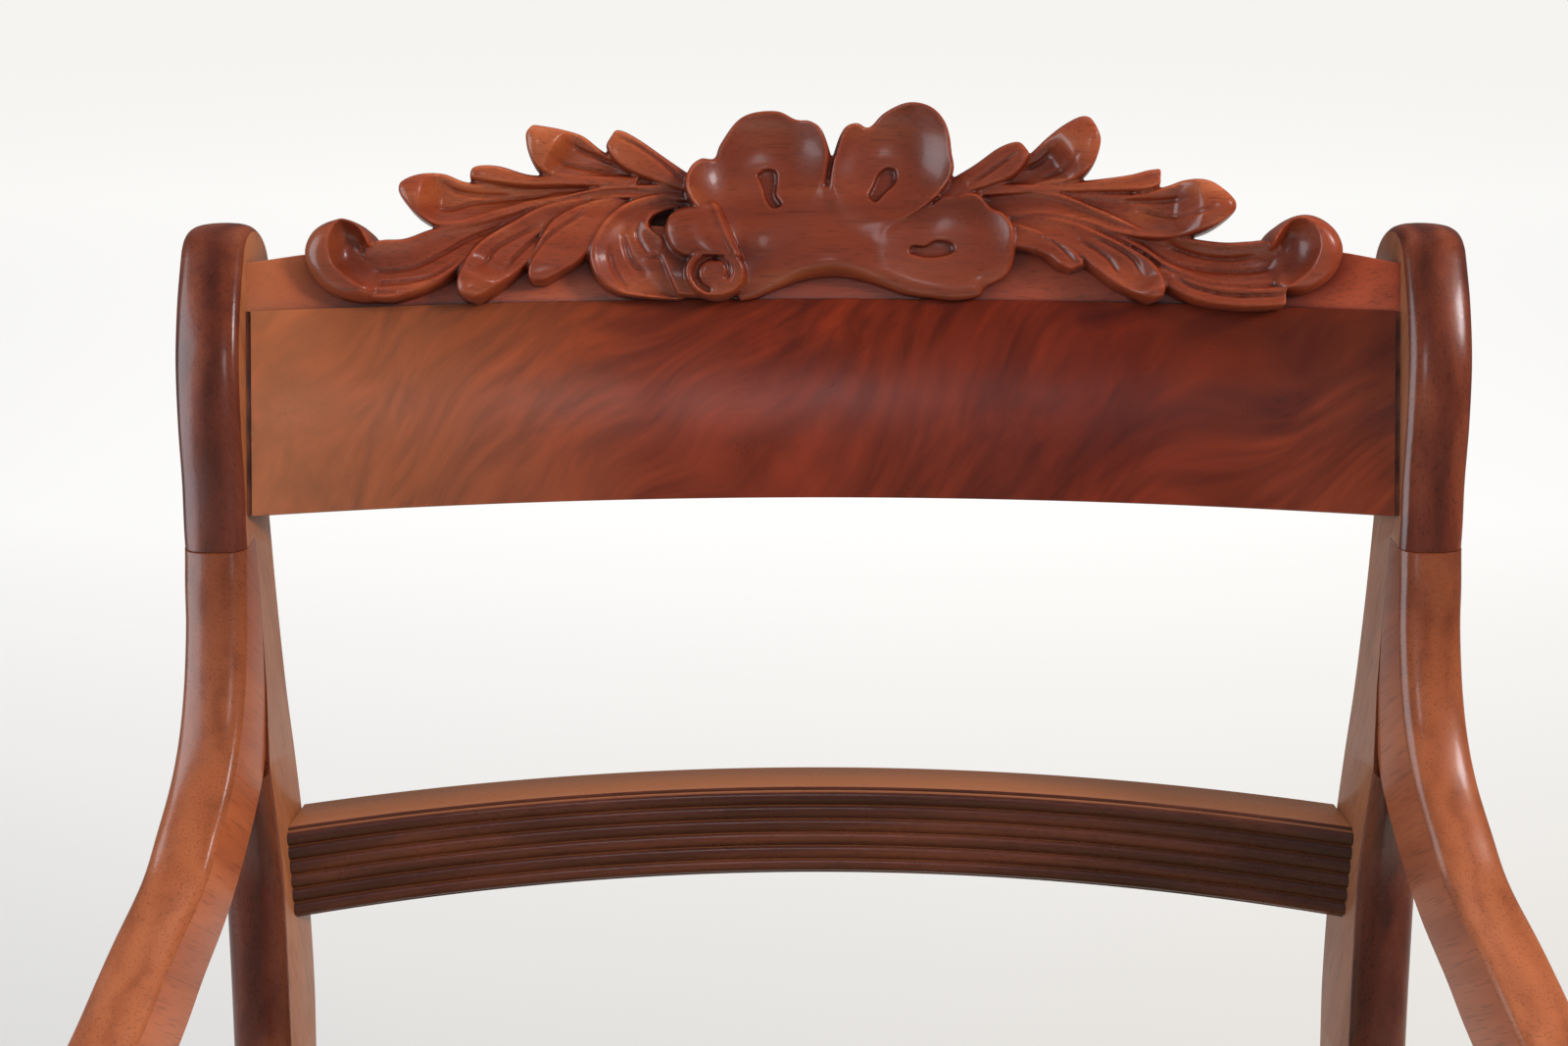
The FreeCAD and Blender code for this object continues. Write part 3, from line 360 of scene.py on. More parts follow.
def wavering(tree, space, scale, most, rough=0.5):
    """A space pushed about by broad noise."""
    push = noise(tree, space, scale, rough=rough, output="Color")
    centred = node(tree, "VectorMath", {0: push, 1: grey(0.5)}, operation="SUBTRACT").outputs[0]
    scaled = node(tree, "VectorMath", {0: centred, "Scale": most}, operation="SCALE").outputs[0]
    return node(tree, "VectorMath", {0: space, 1: scaled}, operation="ADD").outputs[0]


def mapped(tree, space, **how):
    """A space turned (Rotation) or drawn out (Scale)."""
    return node(tree, "Mapping", {"Vector": space, **how}).outputs[0]


def grain_space(tree, turn, waver=0.012):
    """Coordinates whose X runs along the grain, gently wavering."""
    return wavering(tree, mapped(tree, object_space(tree), Rotation=turn), 5.0, waver)


def streaks(tree, space, along, scale, detail=5.0, rough=0.6, distort=0.0):
    """Noise drawn out along the grain."""
    return noise(tree, mapped(tree, space, Scale=(along, 1.0, 1.0)), scale, detail, rough, distort)


def uneven_gloss(tree, space, scale, detail, low, high):
    """Roughness that differs a little from place to place."""
    return stretch(tree, noise(tree, space, scale, detail), 0.25, 0.75, low, high)


def crevices(tree, distance):
    """Dark in the hollows, light in the open."""
    return node(tree, "AmbientOcclusion", {"Distance": distance}, samples=8).outputs["AO"]


def fill_shader(tree, shader, colour, rough, height, strength, deep):
    """Give a shader its colour, its roughness and the fine relief of its surface."""
    bump = node(tree, "Bump", {"Strength": strength, "Distance": deep, "Height": height})
    for name, value in (("Base Color", colour), ("Roughness", rough), ("Normal", bump.outputs[0])):
        put(tree, value, shader.inputs[name])


def varnish(shader, ior, coat, coat_rough):
    """The clear film of French polish."""
    for name, value in (("IOR", ior), ("Coat Weight", coat), ("Coat Roughness", coat_rough)):
        shader.inputs[name].default_value = value


def mahogany_figure(tree, space, tones, rings, ring_scale, figure_scale):
    """Streaks and growth rings, in three tones from dark to light."""
    figure = streaks(tree, space, 0.09, figure_scale, distort=0.4)
    ringed = mapped(tree, space, Scale=(0.10, 1.0, 1.0))
    bands = node(tree, "TexWave", {"Vector": ringed, "Scale": ring_scale, "Distortion": 7.0, "Detail": 3.0,
                                   "Detail Scale": 1.6}, bands_direction="Z").outputs["Fac"]
    tone = weighed(tree, figure, 1.0 - rings, bands, rings)
    colour = ramp(tree, tone, *zip((0.22, 0.50, 0.80), tones))
    return darkened(tree, colour, 0.55, noise(tree, space, 7.0, 3.0), (0.3, 0.62), (0.7, 1.0))


def wear_light_and_shade(tree, colour):
    """Wear on the high places with painted highlights there and painted shade in the hollows, painted light
    on the left end, and old dark colour kept in the throat.
    """
    worn = node(tree, "NewGeometry").outputs["Pointiness"]
    # Wear and painted light: high places lighter as painted highlights, hollows darker as painted shade.
    wear_and_painted_light = ramp(tree, worn, (0.43, 0.25), (0.50, 0.5), (0.555, 0.85))
    colour = blend_colour(tree, "OVERLAY", 0.80, colour, wear_and_painted_light)
    across = axis(tree, object_space(tree), "X")
    # Painted light: the left end is made paler, as lit by the window on the left.
    painted_left_light = stretch(tree, across, -0.20, -0.235, 0.0, 0.5)
    colour = blend_colour(tree, "MIX", painted_left_light, colour, srgb(186, 116, 78))
    aside = maths(tree, "ABSOLUTE", maths(tree, "SUBTRACT", across, 0.010))
    kept = stretch(tree, aside, 0.065, 0.095, 0.28, 0.0)
    return blend_colour(tree, "MIX", kept, colour, srgb(66, 18, 10))


def polished_wood(name, turn, tones, rings, ring_scale=16.0, polish=None, dirt_and_shade=0.75, figure_scale=38.0,
                  waver=0.012, carved=False, height_shade=None, painted_light=None):
    """Mahogany under old French polish: figure, growth rings, pores, grime and painted shade in the hollows.
    """
    made, tree, shader = new_material(name)
    space = grain_space(tree, turn, waver)
    colour = mahogany_figure(tree, space, tones, rings, ring_scale, figure_scale)
    pores = streaks(tree, space, 0.05, 1150.0, detail=1.0)
    colour = darkened(tree, colour, 0.5, pores, (0.57, 1.0), (0.66, 0.45))
    # Painted light and shade by height: the colour is darkened along a ramp over the height of the piece.
    if height_shade:
        low, high, *stops = height_shade
        height = stretch(tree, axis(tree, object_space(tree), "Z"), low, high)
        colour = darkened(tree, colour, 1.0, height, *stops)
    if carved:
        # Grime and painted shade in the carving's hollows: near black where the ambient occlusion is low.
        colour = darkened(tree, colour, dirt_and_shade, crevices(tree, 0.014), (0.12, (0.10, 0.07, 0.05)),
                          (0.38, (0.34, 0.20, 0.15)), (0.66, (0.66, 0.48, 0.42)), (0.95, 1.0))
        colour = wear_light_and_shade(tree, colour)
    else:
        # Grime and painted shade in corners and joints, from the ambient occlusion.
        colour = darkened(tree, colour, dirt_and_shade, crevices(tree, 0.006), (0.15, 0.12), (0.80, 1.0))
    # Painted light: faces that look up are made lighter, as lit from above.
    if painted_light:
        facing = axis(tree, node(tree, "NewGeometry").outputs["True Normal"], "Z")
        colour = blend_colour(tree, "MIX", stretch(tree, facing, 0.93, 0.97, 0.0, 0.75), colour, painted_light)
    gloss = finish().polish if polish is None else polish
    rough = uneven_gloss(tree, space, 26.0, 4.0, gloss * 0.75, gloss * 1.35)
    relief = weighed(tree, noise(tree, space, 60.0), 0.6, pores, 0.15)
    fill_shader(tree, shader, colour, rough, relief, 0.22, 0.0012)
    varnish(shader, 1.52, 0.35, 0.13)
    return made


def flame_figure(tree, where):
    """Dark and bright feathers that sweep up across the tablet."""
    look = finish()
    curved = wavering(tree, where, 5.2, 0.16, rough=0.45)
    turned = mapped(tree, curved, Rotation=(0, math.radians(34), 0))
    feathers = noise(tree, mapped(tree, turned, Scale=(0.16, 0.5, 1.0)), 44.0, 7.0, 0.68, 0.9)
    hairs = noise(tree, mapped(tree, turned, Scale=(0.09, 0.5, 1.0)), 230.0, 4.0)
    tone = weighed(tree, feathers, 0.66, hairs, 0.34)
    middle = tuple(mix(0.42, low, high) for low, high in zip(look.flame_dark, look.flame_light))
    colour = ramp(tree, tone, (0.30, look.flame_dark), (0.48, middle), (0.68, look.flame_light))
    return darkened(tree, colour, 0.6, noise(tree, where, 4.5), (0.32, 0.6), (0.62, 1.0))


def flame_veneer(name):
    """Crotch mahogany, with painted light on its left end and painted shade towards its right, small holes,
    and grime and painted shade along its rim.
    """
    made, tree, shader = new_material(name)
    where = object_space(tree)
    colour = flame_figure(tree, where)
    # Painted light and shade across the tablet: from left to right, paler at the left end and darker towards
    # the right.
    faded = stretch(tree, axis(tree, where, "X"), -0.25, 0.25)
    colour = darkened(tree, colour, 1.0, faded, (0.1, 1.0), (0.45, (0.76, 0.46, 0.31)),
                      (0.75, (0.70, 0.34, 0.20)), (1.0, (0.80, 0.68, 0.60)))
    painted_light = ramp(tree, faded, (0.0, 0.45), (0.10, 0.25), (0.35, 0.0))
    colour = blend_colour(tree, "MIX", painted_light, colour, srgb(196, 132, 92))
    specks = node(tree, "TexVoronoi", {"Vector": where, "Scale": 26.0}).outputs["Distance"]
    colour = darkened(tree, colour, 0.8, specks, (0.018, 0.05), (0.030, 1.0))
    # Grime and painted shade along the edges where the tablet meets the stiles and crest, from the ambient
    # occlusion.
    colour = darkened(tree, colour, 0.85, crevices(tree, 0.007), (0.30, (0.10, 0.08, 0.06)), (0.85, 1.0))
    rough = uneven_gloss(tree, where, 18.0, 5.0, 0.24, 0.40)
    fill_shader(tree, shader, colour, rough, noise(tree, where, 34.0), 0.25, 0.0015)
    varnish(shader, 1.5, 0.12, 0.22)
    return made


def plain_wood(name, turn, dark, light):
    """Unpolished timber inside the seat, with grain and a little dust."""
    made, tree, shader = new_material(name)
    space = grain_space(tree, turn, waver=0.006)
    figure = streaks(tree, space, 0.05, 90.0, detail=6.0)
    colour = ramp(tree, figure, (0.3, dark), (0.7, light))
    flecks = streaks(tree, space, 0.2, 700.0, detail=1.0)
    colour = darkened(tree, colour, 0.35, flecks, (0.5, 1.0), (0.65, 0.55))
    colour = darkened(tree, colour, 0.5, noise(tree, space, 9.0, 4.0), (0.3, 0.6), (0.65, 1.0))
    fill_shader(tree, shader, colour, 0.6, figure, 0.35, 0.0008)
    return made


def ripple(tree, place, pitch):
    """A sine wave over a distance, that returns after each pitch."""
    return maths(tree, "SINE", maths(tree, "MULTIPLY", place, 2 * math.pi / pitch))


def woven(name, ground, thread, pitch, stripe=0.0, rough=0.85):
    """A plain weave with its threads seen one by one, and broad stripes where asked."""
    made, tree, shader = new_material(name)
    where = object_space(tree)
    x, y, z = node(tree, "SeparateXYZ", {0: where}).outputs
    weave = maths(tree, "MULTIPLY", ripple(tree, x, pitch), ripple(tree, maths(tree, "ADD", y, z), pitch))
    lifted = maths(tree, "MULTIPLY_ADD", weave, 0.5, 0.5)
    tone = weighed(tree, lifted, 0.55, noise(tree, where, 340.0, 3.0), 0.45)
    colour = ramp(tree, tone, (0.2, ground), (0.8, thread))
    if stripe:
        band = maths(tree, "MULTIPLY_ADD", ripple(tree, x, stripe), 0.5, 0.5)
        colour = darkened(tree, colour, 0.9, band, (0.40, 0.62), (0.5, 1.0))
    colour = darkened(tree, colour, 0.4, noise(tree, where, 11.0, 3.0), (0.3, 0.7), (0.65, 1.0))
    fill_shader(tree, shader, colour, rough, tone, 0.6, 0.0006)
    shader.inputs["Sheen Weight"].default_value = 0.3
    return made


def aged_metal(name, dark, light):
    """Iron with rust in patches."""
    made, tree, shader = new_material(name)
    rust = noise(tree, object_space(tree), 400.0, 4.0)
    put(tree, ramp(tree, rust, (0.35, dark), (0.6, light)), shader.inputs["Base Color"])
    put(tree, stretch(tree, rust, 0.2, 0.8, 0.35, 0.75), shader.inputs["Roughness"])
    shader.inputs["Metallic"].default_value = 0.85
    return made


ALONG_X = (0.0, 0.0, 0.0)
ALONG_Z = (0.0, math.radians(90), 0.0)
ALONG_Y = (0.0, 0.0, math.radians(90))
ALONG_ARM = (math.radians(-38), math.radians(90), 0.0)
BEECH = dict(dark=srgb(150, 112, 72), light=srgb(196, 158, 112))
CLOTHS = {
    "webbing": dict(ground=srgb(88, 66, 42), thread=srgb(172, 146, 104), pitch=0.0022, stripe=0.017),
    "hessian": dict(ground=srgb(96, 74, 46), thread=srgb(160, 130, 86), pitch=0.0026, rough=0.95),
    "dust_cloth": dict(ground=srgb(18, 18, 20), thread=srgb(44, 43, 46), pitch=0.0012, rough=0.95),
    "stuffing": dict(ground=srgb(120, 98, 70), thread=srgb(176, 152, 116), pitch=0.0030, rough=0.97),
}
MATERIALS = {}


def mahoganies():
    """The polished woods, by what they are used for."""
    look = finish()
    plain = (look.wood_dark, look.wood_mid, look.wood_light)
    # Painted light and shade on the arms: darker up towards the stiles, lighter low down.
    height_shade = (0.56, 0.745, (0.0, 1.0), (0.45, (0.80, 0.76, 0.74)), (1.0, (0.42, 0.34, 0.32)))
    return {
        # The stiles are darker low down: painted shade by height.
        "stile_wood": dict(turn=ALONG_Z, tones=plain, rings=0.2, height_shade=(0.56, 0.66, (0.0, 0.72), (1.0, 1.0))),
        # Lighter wood for the inner faces of the stiles and arms: faded wood and painted light.
        "faded_and_lit_wood": dict(turn=ALONG_Z, tones=(srgb(126, 68, 42), srgb(160, 98, 64), srgb(184, 122, 86)),
                           rings=0.15, polish=0.42),
        "arm_wood": dict(turn=ALONG_ARM, tones=(srgb(150, 82, 50), srgb(176, 102, 66), look.arm_light),
                         rings=0.22, ring_scale=24.0, figure_scale=46.0, waver=0.005, height_shade=height_shade),
        "arm_inner_wood": dict(turn=ALONG_ARM, rings=0.2, ring_scale=30.0, waver=0.005, polish=0.40,
                               tones=(srgb(168, 86, 48), srgb(192, 104, 62), srgb(214, 124, 78)), height_shade=height_shade),
        "carved_wood": dict(turn=ALONG_X, tones=(srgb(96, 36, 20), srgb(140, 62, 37), srgb(184, 102, 62)),
                            rings=0.1, dirt_and_shade=1.0, carved=True, polish=0.30, figure_scale=24.0),
        "rail_wood": dict(turn=ALONG_X, tones=plain, rings=0.2),
        # The reeded rail takes painted light on its top.
        "reed_wood": dict(turn=ALONG_X, tones=(look.wood_dark, srgb(80, 38, 27), srgb(118, 60, 40)),
                          rings=0.15, dirt_and_shade=1.0, painted_light=srgb(166, 106, 72)),
        "leg_wood": dict(turn=ALONG_Z, tones=plain, rings=0.3, dirt_and_shade=0.9),
        "side_rail_wood": dict(turn=ALONG_Y, tones=plain, rings=0.2),
    }


def mix_finish(name):
    """Make a finish by name."""
    look = finish()
    woods = mahoganies()
    if name in woods:
        return polished_wood(name, **woods[name])
    if name in CLOTHS:
        return woven(name, **CLOTHS[name])
    if name == "cover":
        return woven(name, look.cover, look.cover_stripe, 0.0016, stripe=0.046)
    if name == "flame_veneer":
        return flame_veneer(name)
    if name == "iron":
        return aged_metal(name, srgb(38, 32, 28), srgb(92, 84, 76))
    return plain_wood(name, ALONG_Y if name == "beech_long" else ALONG_X, **BEECH)


def material(name):
    """A finish by name, made the first time it is asked for."""
    if name not in MATERIALS:
        MATERIALS[name] = mix_finish(name)
    return MATERIALS[name]


# Stiles and rear legs

STILE_Y = 0.112
STILE_DEEP = 0.042
SEAT_Z = 0.430
RAIL_FOOT = 0.362
LEG_SWEEP = 0.142
LEG_FOOT_DEEP = 0.031
STILE_SCROLL = 0.015
ARM_SCROLL = 0.018
ARRIS = 0.0012


def above_seat(pairs):
    """Side-view points in millimetres from the front of the stile and the top of the rails."""
    return [(STILE_Y + back * MM, SEAT_Z + up * MM) for back, up in pairs]


STILE_FACE = above_seat([
    (0, 0), (11, 40), (27, 82), (42, 123), (54, 160), (59.5, 197), (64, 230), (72, 270),
    (81.5, 311), (91, 337), (98, 360), (107.5, 384), (119, 403.5), (128, 415.5), (134.5, 423.4)])
STILE_REAR = above_seat([
    (42, 0), (49, 40), (66, 83), (78, 123), (87, 160), (92.5, 197), (96.5, 232), (104, 274),
    (112, 310), (118, 333), (124, 352), (131, 370), (140, 386), (145, 393), (150, 399)])
GLUE_LINE = above_seat([(91, 310.7), (86, 288.6), (74.2, 246.4), (60.2, 209.5)])
STILE_HUB = above_seat([(145.5, 413)])[0]

# The rounded front: share of the width from the inner face, share of the rise
NOSE = evenly([(0.0, 0.0), (0.03, 0.30), (0.10, 0.68), (0.24, 0.94), (0.42, 1.0), (0.62, 0.94), (0.80, 0.74),
               (0.90, 0.46), (0.965, 0.06), (1.0, -0.55)], 22)
HUB_REACH = 0.0005

# How far the cutters of the arm's joint reach beyond the wood
CLEAR = 0.06


def member_ring(x, front, back, rise):
    """The section of a stile or arm: flat inner face, rounded front, square back."""
    wide = sizes().stile_wide
    ahead = Vector((0, front[0] - back[0], front[1] - back[1])).normalized()
    ring = [Vector((x + share * wide, *front)) + ahead * (out * rise) for share, out in NOSE]
    behind = Vector((0, *back))
    for across, lift in ((wide, ARRIS), (wide - ARRIS, 0), (ARRIS, 0), (0, ARRIS)):
        ring.append(behind + Vector((x + across, 0, 0)) + ahead * lift)
    return ring


def scroll_rings(x, hub, radius, first, last, count):
    """The scrolled end of a stile or arm: sections that turn about a hub, in degrees from first to last."""
    rings = []
    for step in range(1, count + 1):
        angle = math.radians(mix(step / count, first, last))
        rim, core = [(hub[0] + reach * math.cos(angle), hub[1] + reach * math.sin(angle))
                     for reach in (radius, HUB_REACH)]
        rings.append(member_ring(x, rim, core, sizes().crown * mix(ease(0, 6, step), 1.0, 0.8)))
    return rings


def leg_station(up):
    """Front and back of the sabre leg at a height below the rails."""
    share = 1 - up / RAIL_FOOT
    middle = STILE_Y + STILE_DEEP / 2 + LEG_SWEEP * share ** 1.7
    half = mix(share, STILE_DEEP, LEG_FOOT_DEEP) / 2
    return (middle - half, up), (middle + half, up)


def stile_rings():
    """Sections from the foot of the rear leg up to the scroll of the stile."""
    size = sizes()
    x = size.back_half
    rings = []
    for step in range(41):
        front, back = leg_station(RAIL_FOOT * step / 40)
        rings.append(member_ring(x, front, back, mix(step / 40, size.crown * 0.7, 0.0002)))
    for up in (0.385, 0.41):
        rings.append(member_ring(x, (STILE_Y, up), (STILE_Y + STILE_DEEP, up), 0.0001))
    for index, (front, back) in enumerate(zip(evenly(STILE_FACE, 90), evenly(STILE_REAR, 90))):
        rings.append(member_ring(x, front, back, mix(ease(0, 22, index), 0.0006, size.crown)))
    return rings + scroll_rings(x, STILE_HUB, STILE_SCROLL, 134, -74, 29)


def joint_cutter():
    """The space in front of the glue line, where the arm is fitted to the stile."""
    half = sizes().back_half
    gap = 0.00012
    line = [(y + gap, z + gap) for y, z in GLUE_LINE]
    (top_y, top_z), (foot_y, foot_z) = line[0], line[-1]
    outline = line + [(foot_y - CLEAR, foot_z - 0.02), (top_y - CLEAR, top_z)]
    return prism("joint", outline, half - 0.02, half + 0.05)


def behind_cutter():
    """The space behind the glue line and above the joint, which the arm keeps out of."""
    half = sizes().back_half
    (top_y, top_z), (foot_y, foot_z) = GLUE_LINE[0], GLUE_LINE[-1]
    low, high, back, front = foot_z - CLEAR, top_z + CLEAR, foot_y + 0.09, top_y - CLEAR
    outline = GLUE_LINE + [(foot_y, low), (back, low), (back, high), (front, high), (front, top_z)]
    return prism("behind", outline, half - 0.02, half + 0.06)


def build_pair(name, rings, finish_name, cutter, slot, inner=None):
    """A left-hand piece, sawn to its joint, and its mirror image."""
    left = make_piece(name + "_left_polished", *lofted(rings), finish_name, "frame", [name + "_left"], slot)
    cut_away(left, cutter)
    points, faces = plain_mesh(left)
    points = [(-point.x, point.y, point.z) for point in points]
    right = make_piece(name + "_right_polished", points, faces, finish_name, "frame", [name + "_right"], slot)
    for face, twin in zip(left.data.polygons, right.data.polygons):
        # Inner faces take their own lighter wood: faded wood and painted light.
        if inner:
            face.material_index = int(face.normal.x < -0.95)
        twin.material_index = face.material_index
    for piece in (left, right):
        if inner:
            piece.data.materials.append(material(inner))
        ease_edges(piece, 0.0006)
        shade_by_angle(piece, 34)
    return left


# Arms and their supports

ARM_TOP = above_seat([
    (93, 335), (85, 322), (81, 311), (74, 297), (67, 281), (55, 259), (43, 242), (29, 228), (12, 216),
    (-5, 205), (-30, 197), (-46, 191), (-69, 182), (-112, 170), (-162, 163), (-212, 164),
    (-257, 172), (-292, 183), (-312, 189)])
ARM_FOOT = above_seat([
    (122, 320), (112, 309), (103, 298), (94, 282), (85, 262), (76, 240), (62, 214), (47, 200), (30, 188),
    (8, 175), (-17, 165), (-36, 156), (-62, 147), (-107, 138), (-162, 132), (-209, 134),
    (-248, 143), (-277, 152), (-303, 156)])
ARM_HUB = above_seat([(-312, 171)])[0]
SUPPORT_FACE = above_seat([
    (-287, -68), (-290, -30), (-286, 10), (-274, 50), (-268, 85), (-276, 120), (-296, 150)])

# The seat rails splay from the stiles out to this half width at the front
FRONT_HALF = 0.282
RAIL_RUN = STILE_Y + 0.277
ARM_SPLAY_START = STILE_Y + 0.078
ARM_SPLAY_STOP = STILE_Y - 0.202
ARM_SPLAY_ON = 0.05
SUPPORT_MIDDLE = STILE_Y - 0.260
SUPPORT_DEEP = 0.034
SUPPORT_FLARE = 0.010


def rail_face(y):
    """Half the width over the seat rails at a place from front to back."""
    return mix((STILE_Y - y) / RAIL_RUN, sizes().back_half + sizes().stile_wide, FRONT_HALF)


def arm_inside(y):
    """Half the gap between the arms, which splay from the stiles out to the rails."""
    share = (ARM_SPLAY_START - y) / (ARM_SPLAY_START - ARM_SPLAY_STOP)
    splayed = mix(min(1.0, max(0.0, share)) ** 1.3, sizes().back_half, rail_face(ARM_SPLAY_STOP))
    return splayed + max(0.0, ARM_SPLAY_STOP - y) * ARM_SPLAY_ON


def arm_rings():
    """Sections from the stile down the arm and round its scroll."""
    rings = []
    for top, foot in zip(evenly(ARM_TOP, 120), evenly(ARM_FOOT, 120)):
        rings.append(member_ring(arm_inside((top[0] + foot[0]) / 2), top, foot, sizes().crown))
    return rings + scroll_rings(arm_inside(ARM_HUB[0]), ARM_HUB, ARM_SCROLL, 92, 302, 33)


def support_rings():
    """Sections up the arm's support, square to the splayed rail."""
    size = sizes()
    slope = (FRONT_HALF - size.back_half - size.stile_wide) / RAIL_RUN
    spin = Matrix.Rotation(math.atan(slope), 4, "Z")
    base = Vector((0, SUPPORT_MIDDLE, 0))
    outside = Vector((rail_face(SUPPORT_MIDDLE), 0, 0))
    rings = []
    for index, front in enumerate(evenly(SUPPORT_FACE, 60)):
        back = (front[0] + SUPPORT_DEEP + SUPPORT_FLARE * (1 - index / 59) ** 2, front[1])
        ring = member_ring(0.0, front, back, mix(ease(0, 22, index), 0.005, size.crown))
        rings.append([spin @ (point - base) + base + outside for point in ring])
    return rings


# The hollow upper back

TABLET_FOOT = Vector((0, 0.1979, 0.7534))
TABLET_TALL = 0.086
TABLET_LOW_RISE = 0.008
TABLET_TOP_RISE = 0.011
VENEER_THICK = 0.0012
REED_FOOT = Vector((0, 0.1712, 0.5587))
REED_RAKE = math.radians(11.4)


class HollowBack:
    """Places on the hollow of the back: along its width, up its lean, proud of its face."""

    def __init__(self, foot, rake):
        self.half = sizes().back_half
        self.deep = sizes().hollow
        self.radius = (self.half ** 2 + self.deep ** 2) / (2 * self.deep)
        self.foot = foot
        self.back = Vector((0, math.cos(rake), -math.sin(rake)))
        self.up = Vector((0, math.sin(rake), math.cos(rake)))

    def plumb(self, along, up, proud):
        """A place from its distance along, measured straight across the chair."""
        depth = np.sqrt((self.radius - proud) ** 2 - along ** 2) - (self.radius - self.deep)
        return np.stack([along, self.foot.y + self.back.y * depth + self.up.y * up,
                         self.foot.z + self.back.z * depth + self.up.z * up], axis=-1)

    def stations(self, steps, end_gap=0.0):
        """Distances along the hollow, each with its share of the arch over it."""
        for step in range(steps + 1):
            along = mix(step / steps, end_gap - self.half, self.half - end_gap)
            yield along, 1 - (along / self.half) ** 2


def bent_board(place, section, low_rise=0.0, top_rise=0.0, tall=0.0, end_gap=0.0):
    """A board bent to the hollow. Its section: how far out, which share of the height, how much higher."""
    rings = []
    for along, bow in place.stations(120, end_gap):
        low = low_rise * bow
        high = tall + top_rise * bow
        rings.append([place.plumb(along, mix(share, low, high) + lift, proud)
                      for proud, share, lift in section])
    return lofted(rings)


def eased_box(front, back, soft):
    """The section of a board with its arrises eased."""
    slight = soft * 0.3
    return [
        (front, 0, soft), (front - slight, 0, slight), (front - soft, 0, 0), (back + soft, 0, 0),
        (back, 0, soft), (back, 1, -soft), (back + soft, 1, 0), (front - soft, 1, 0),
        (front - slight, 1, -slight), (front, 1, -soft)]


# The carving

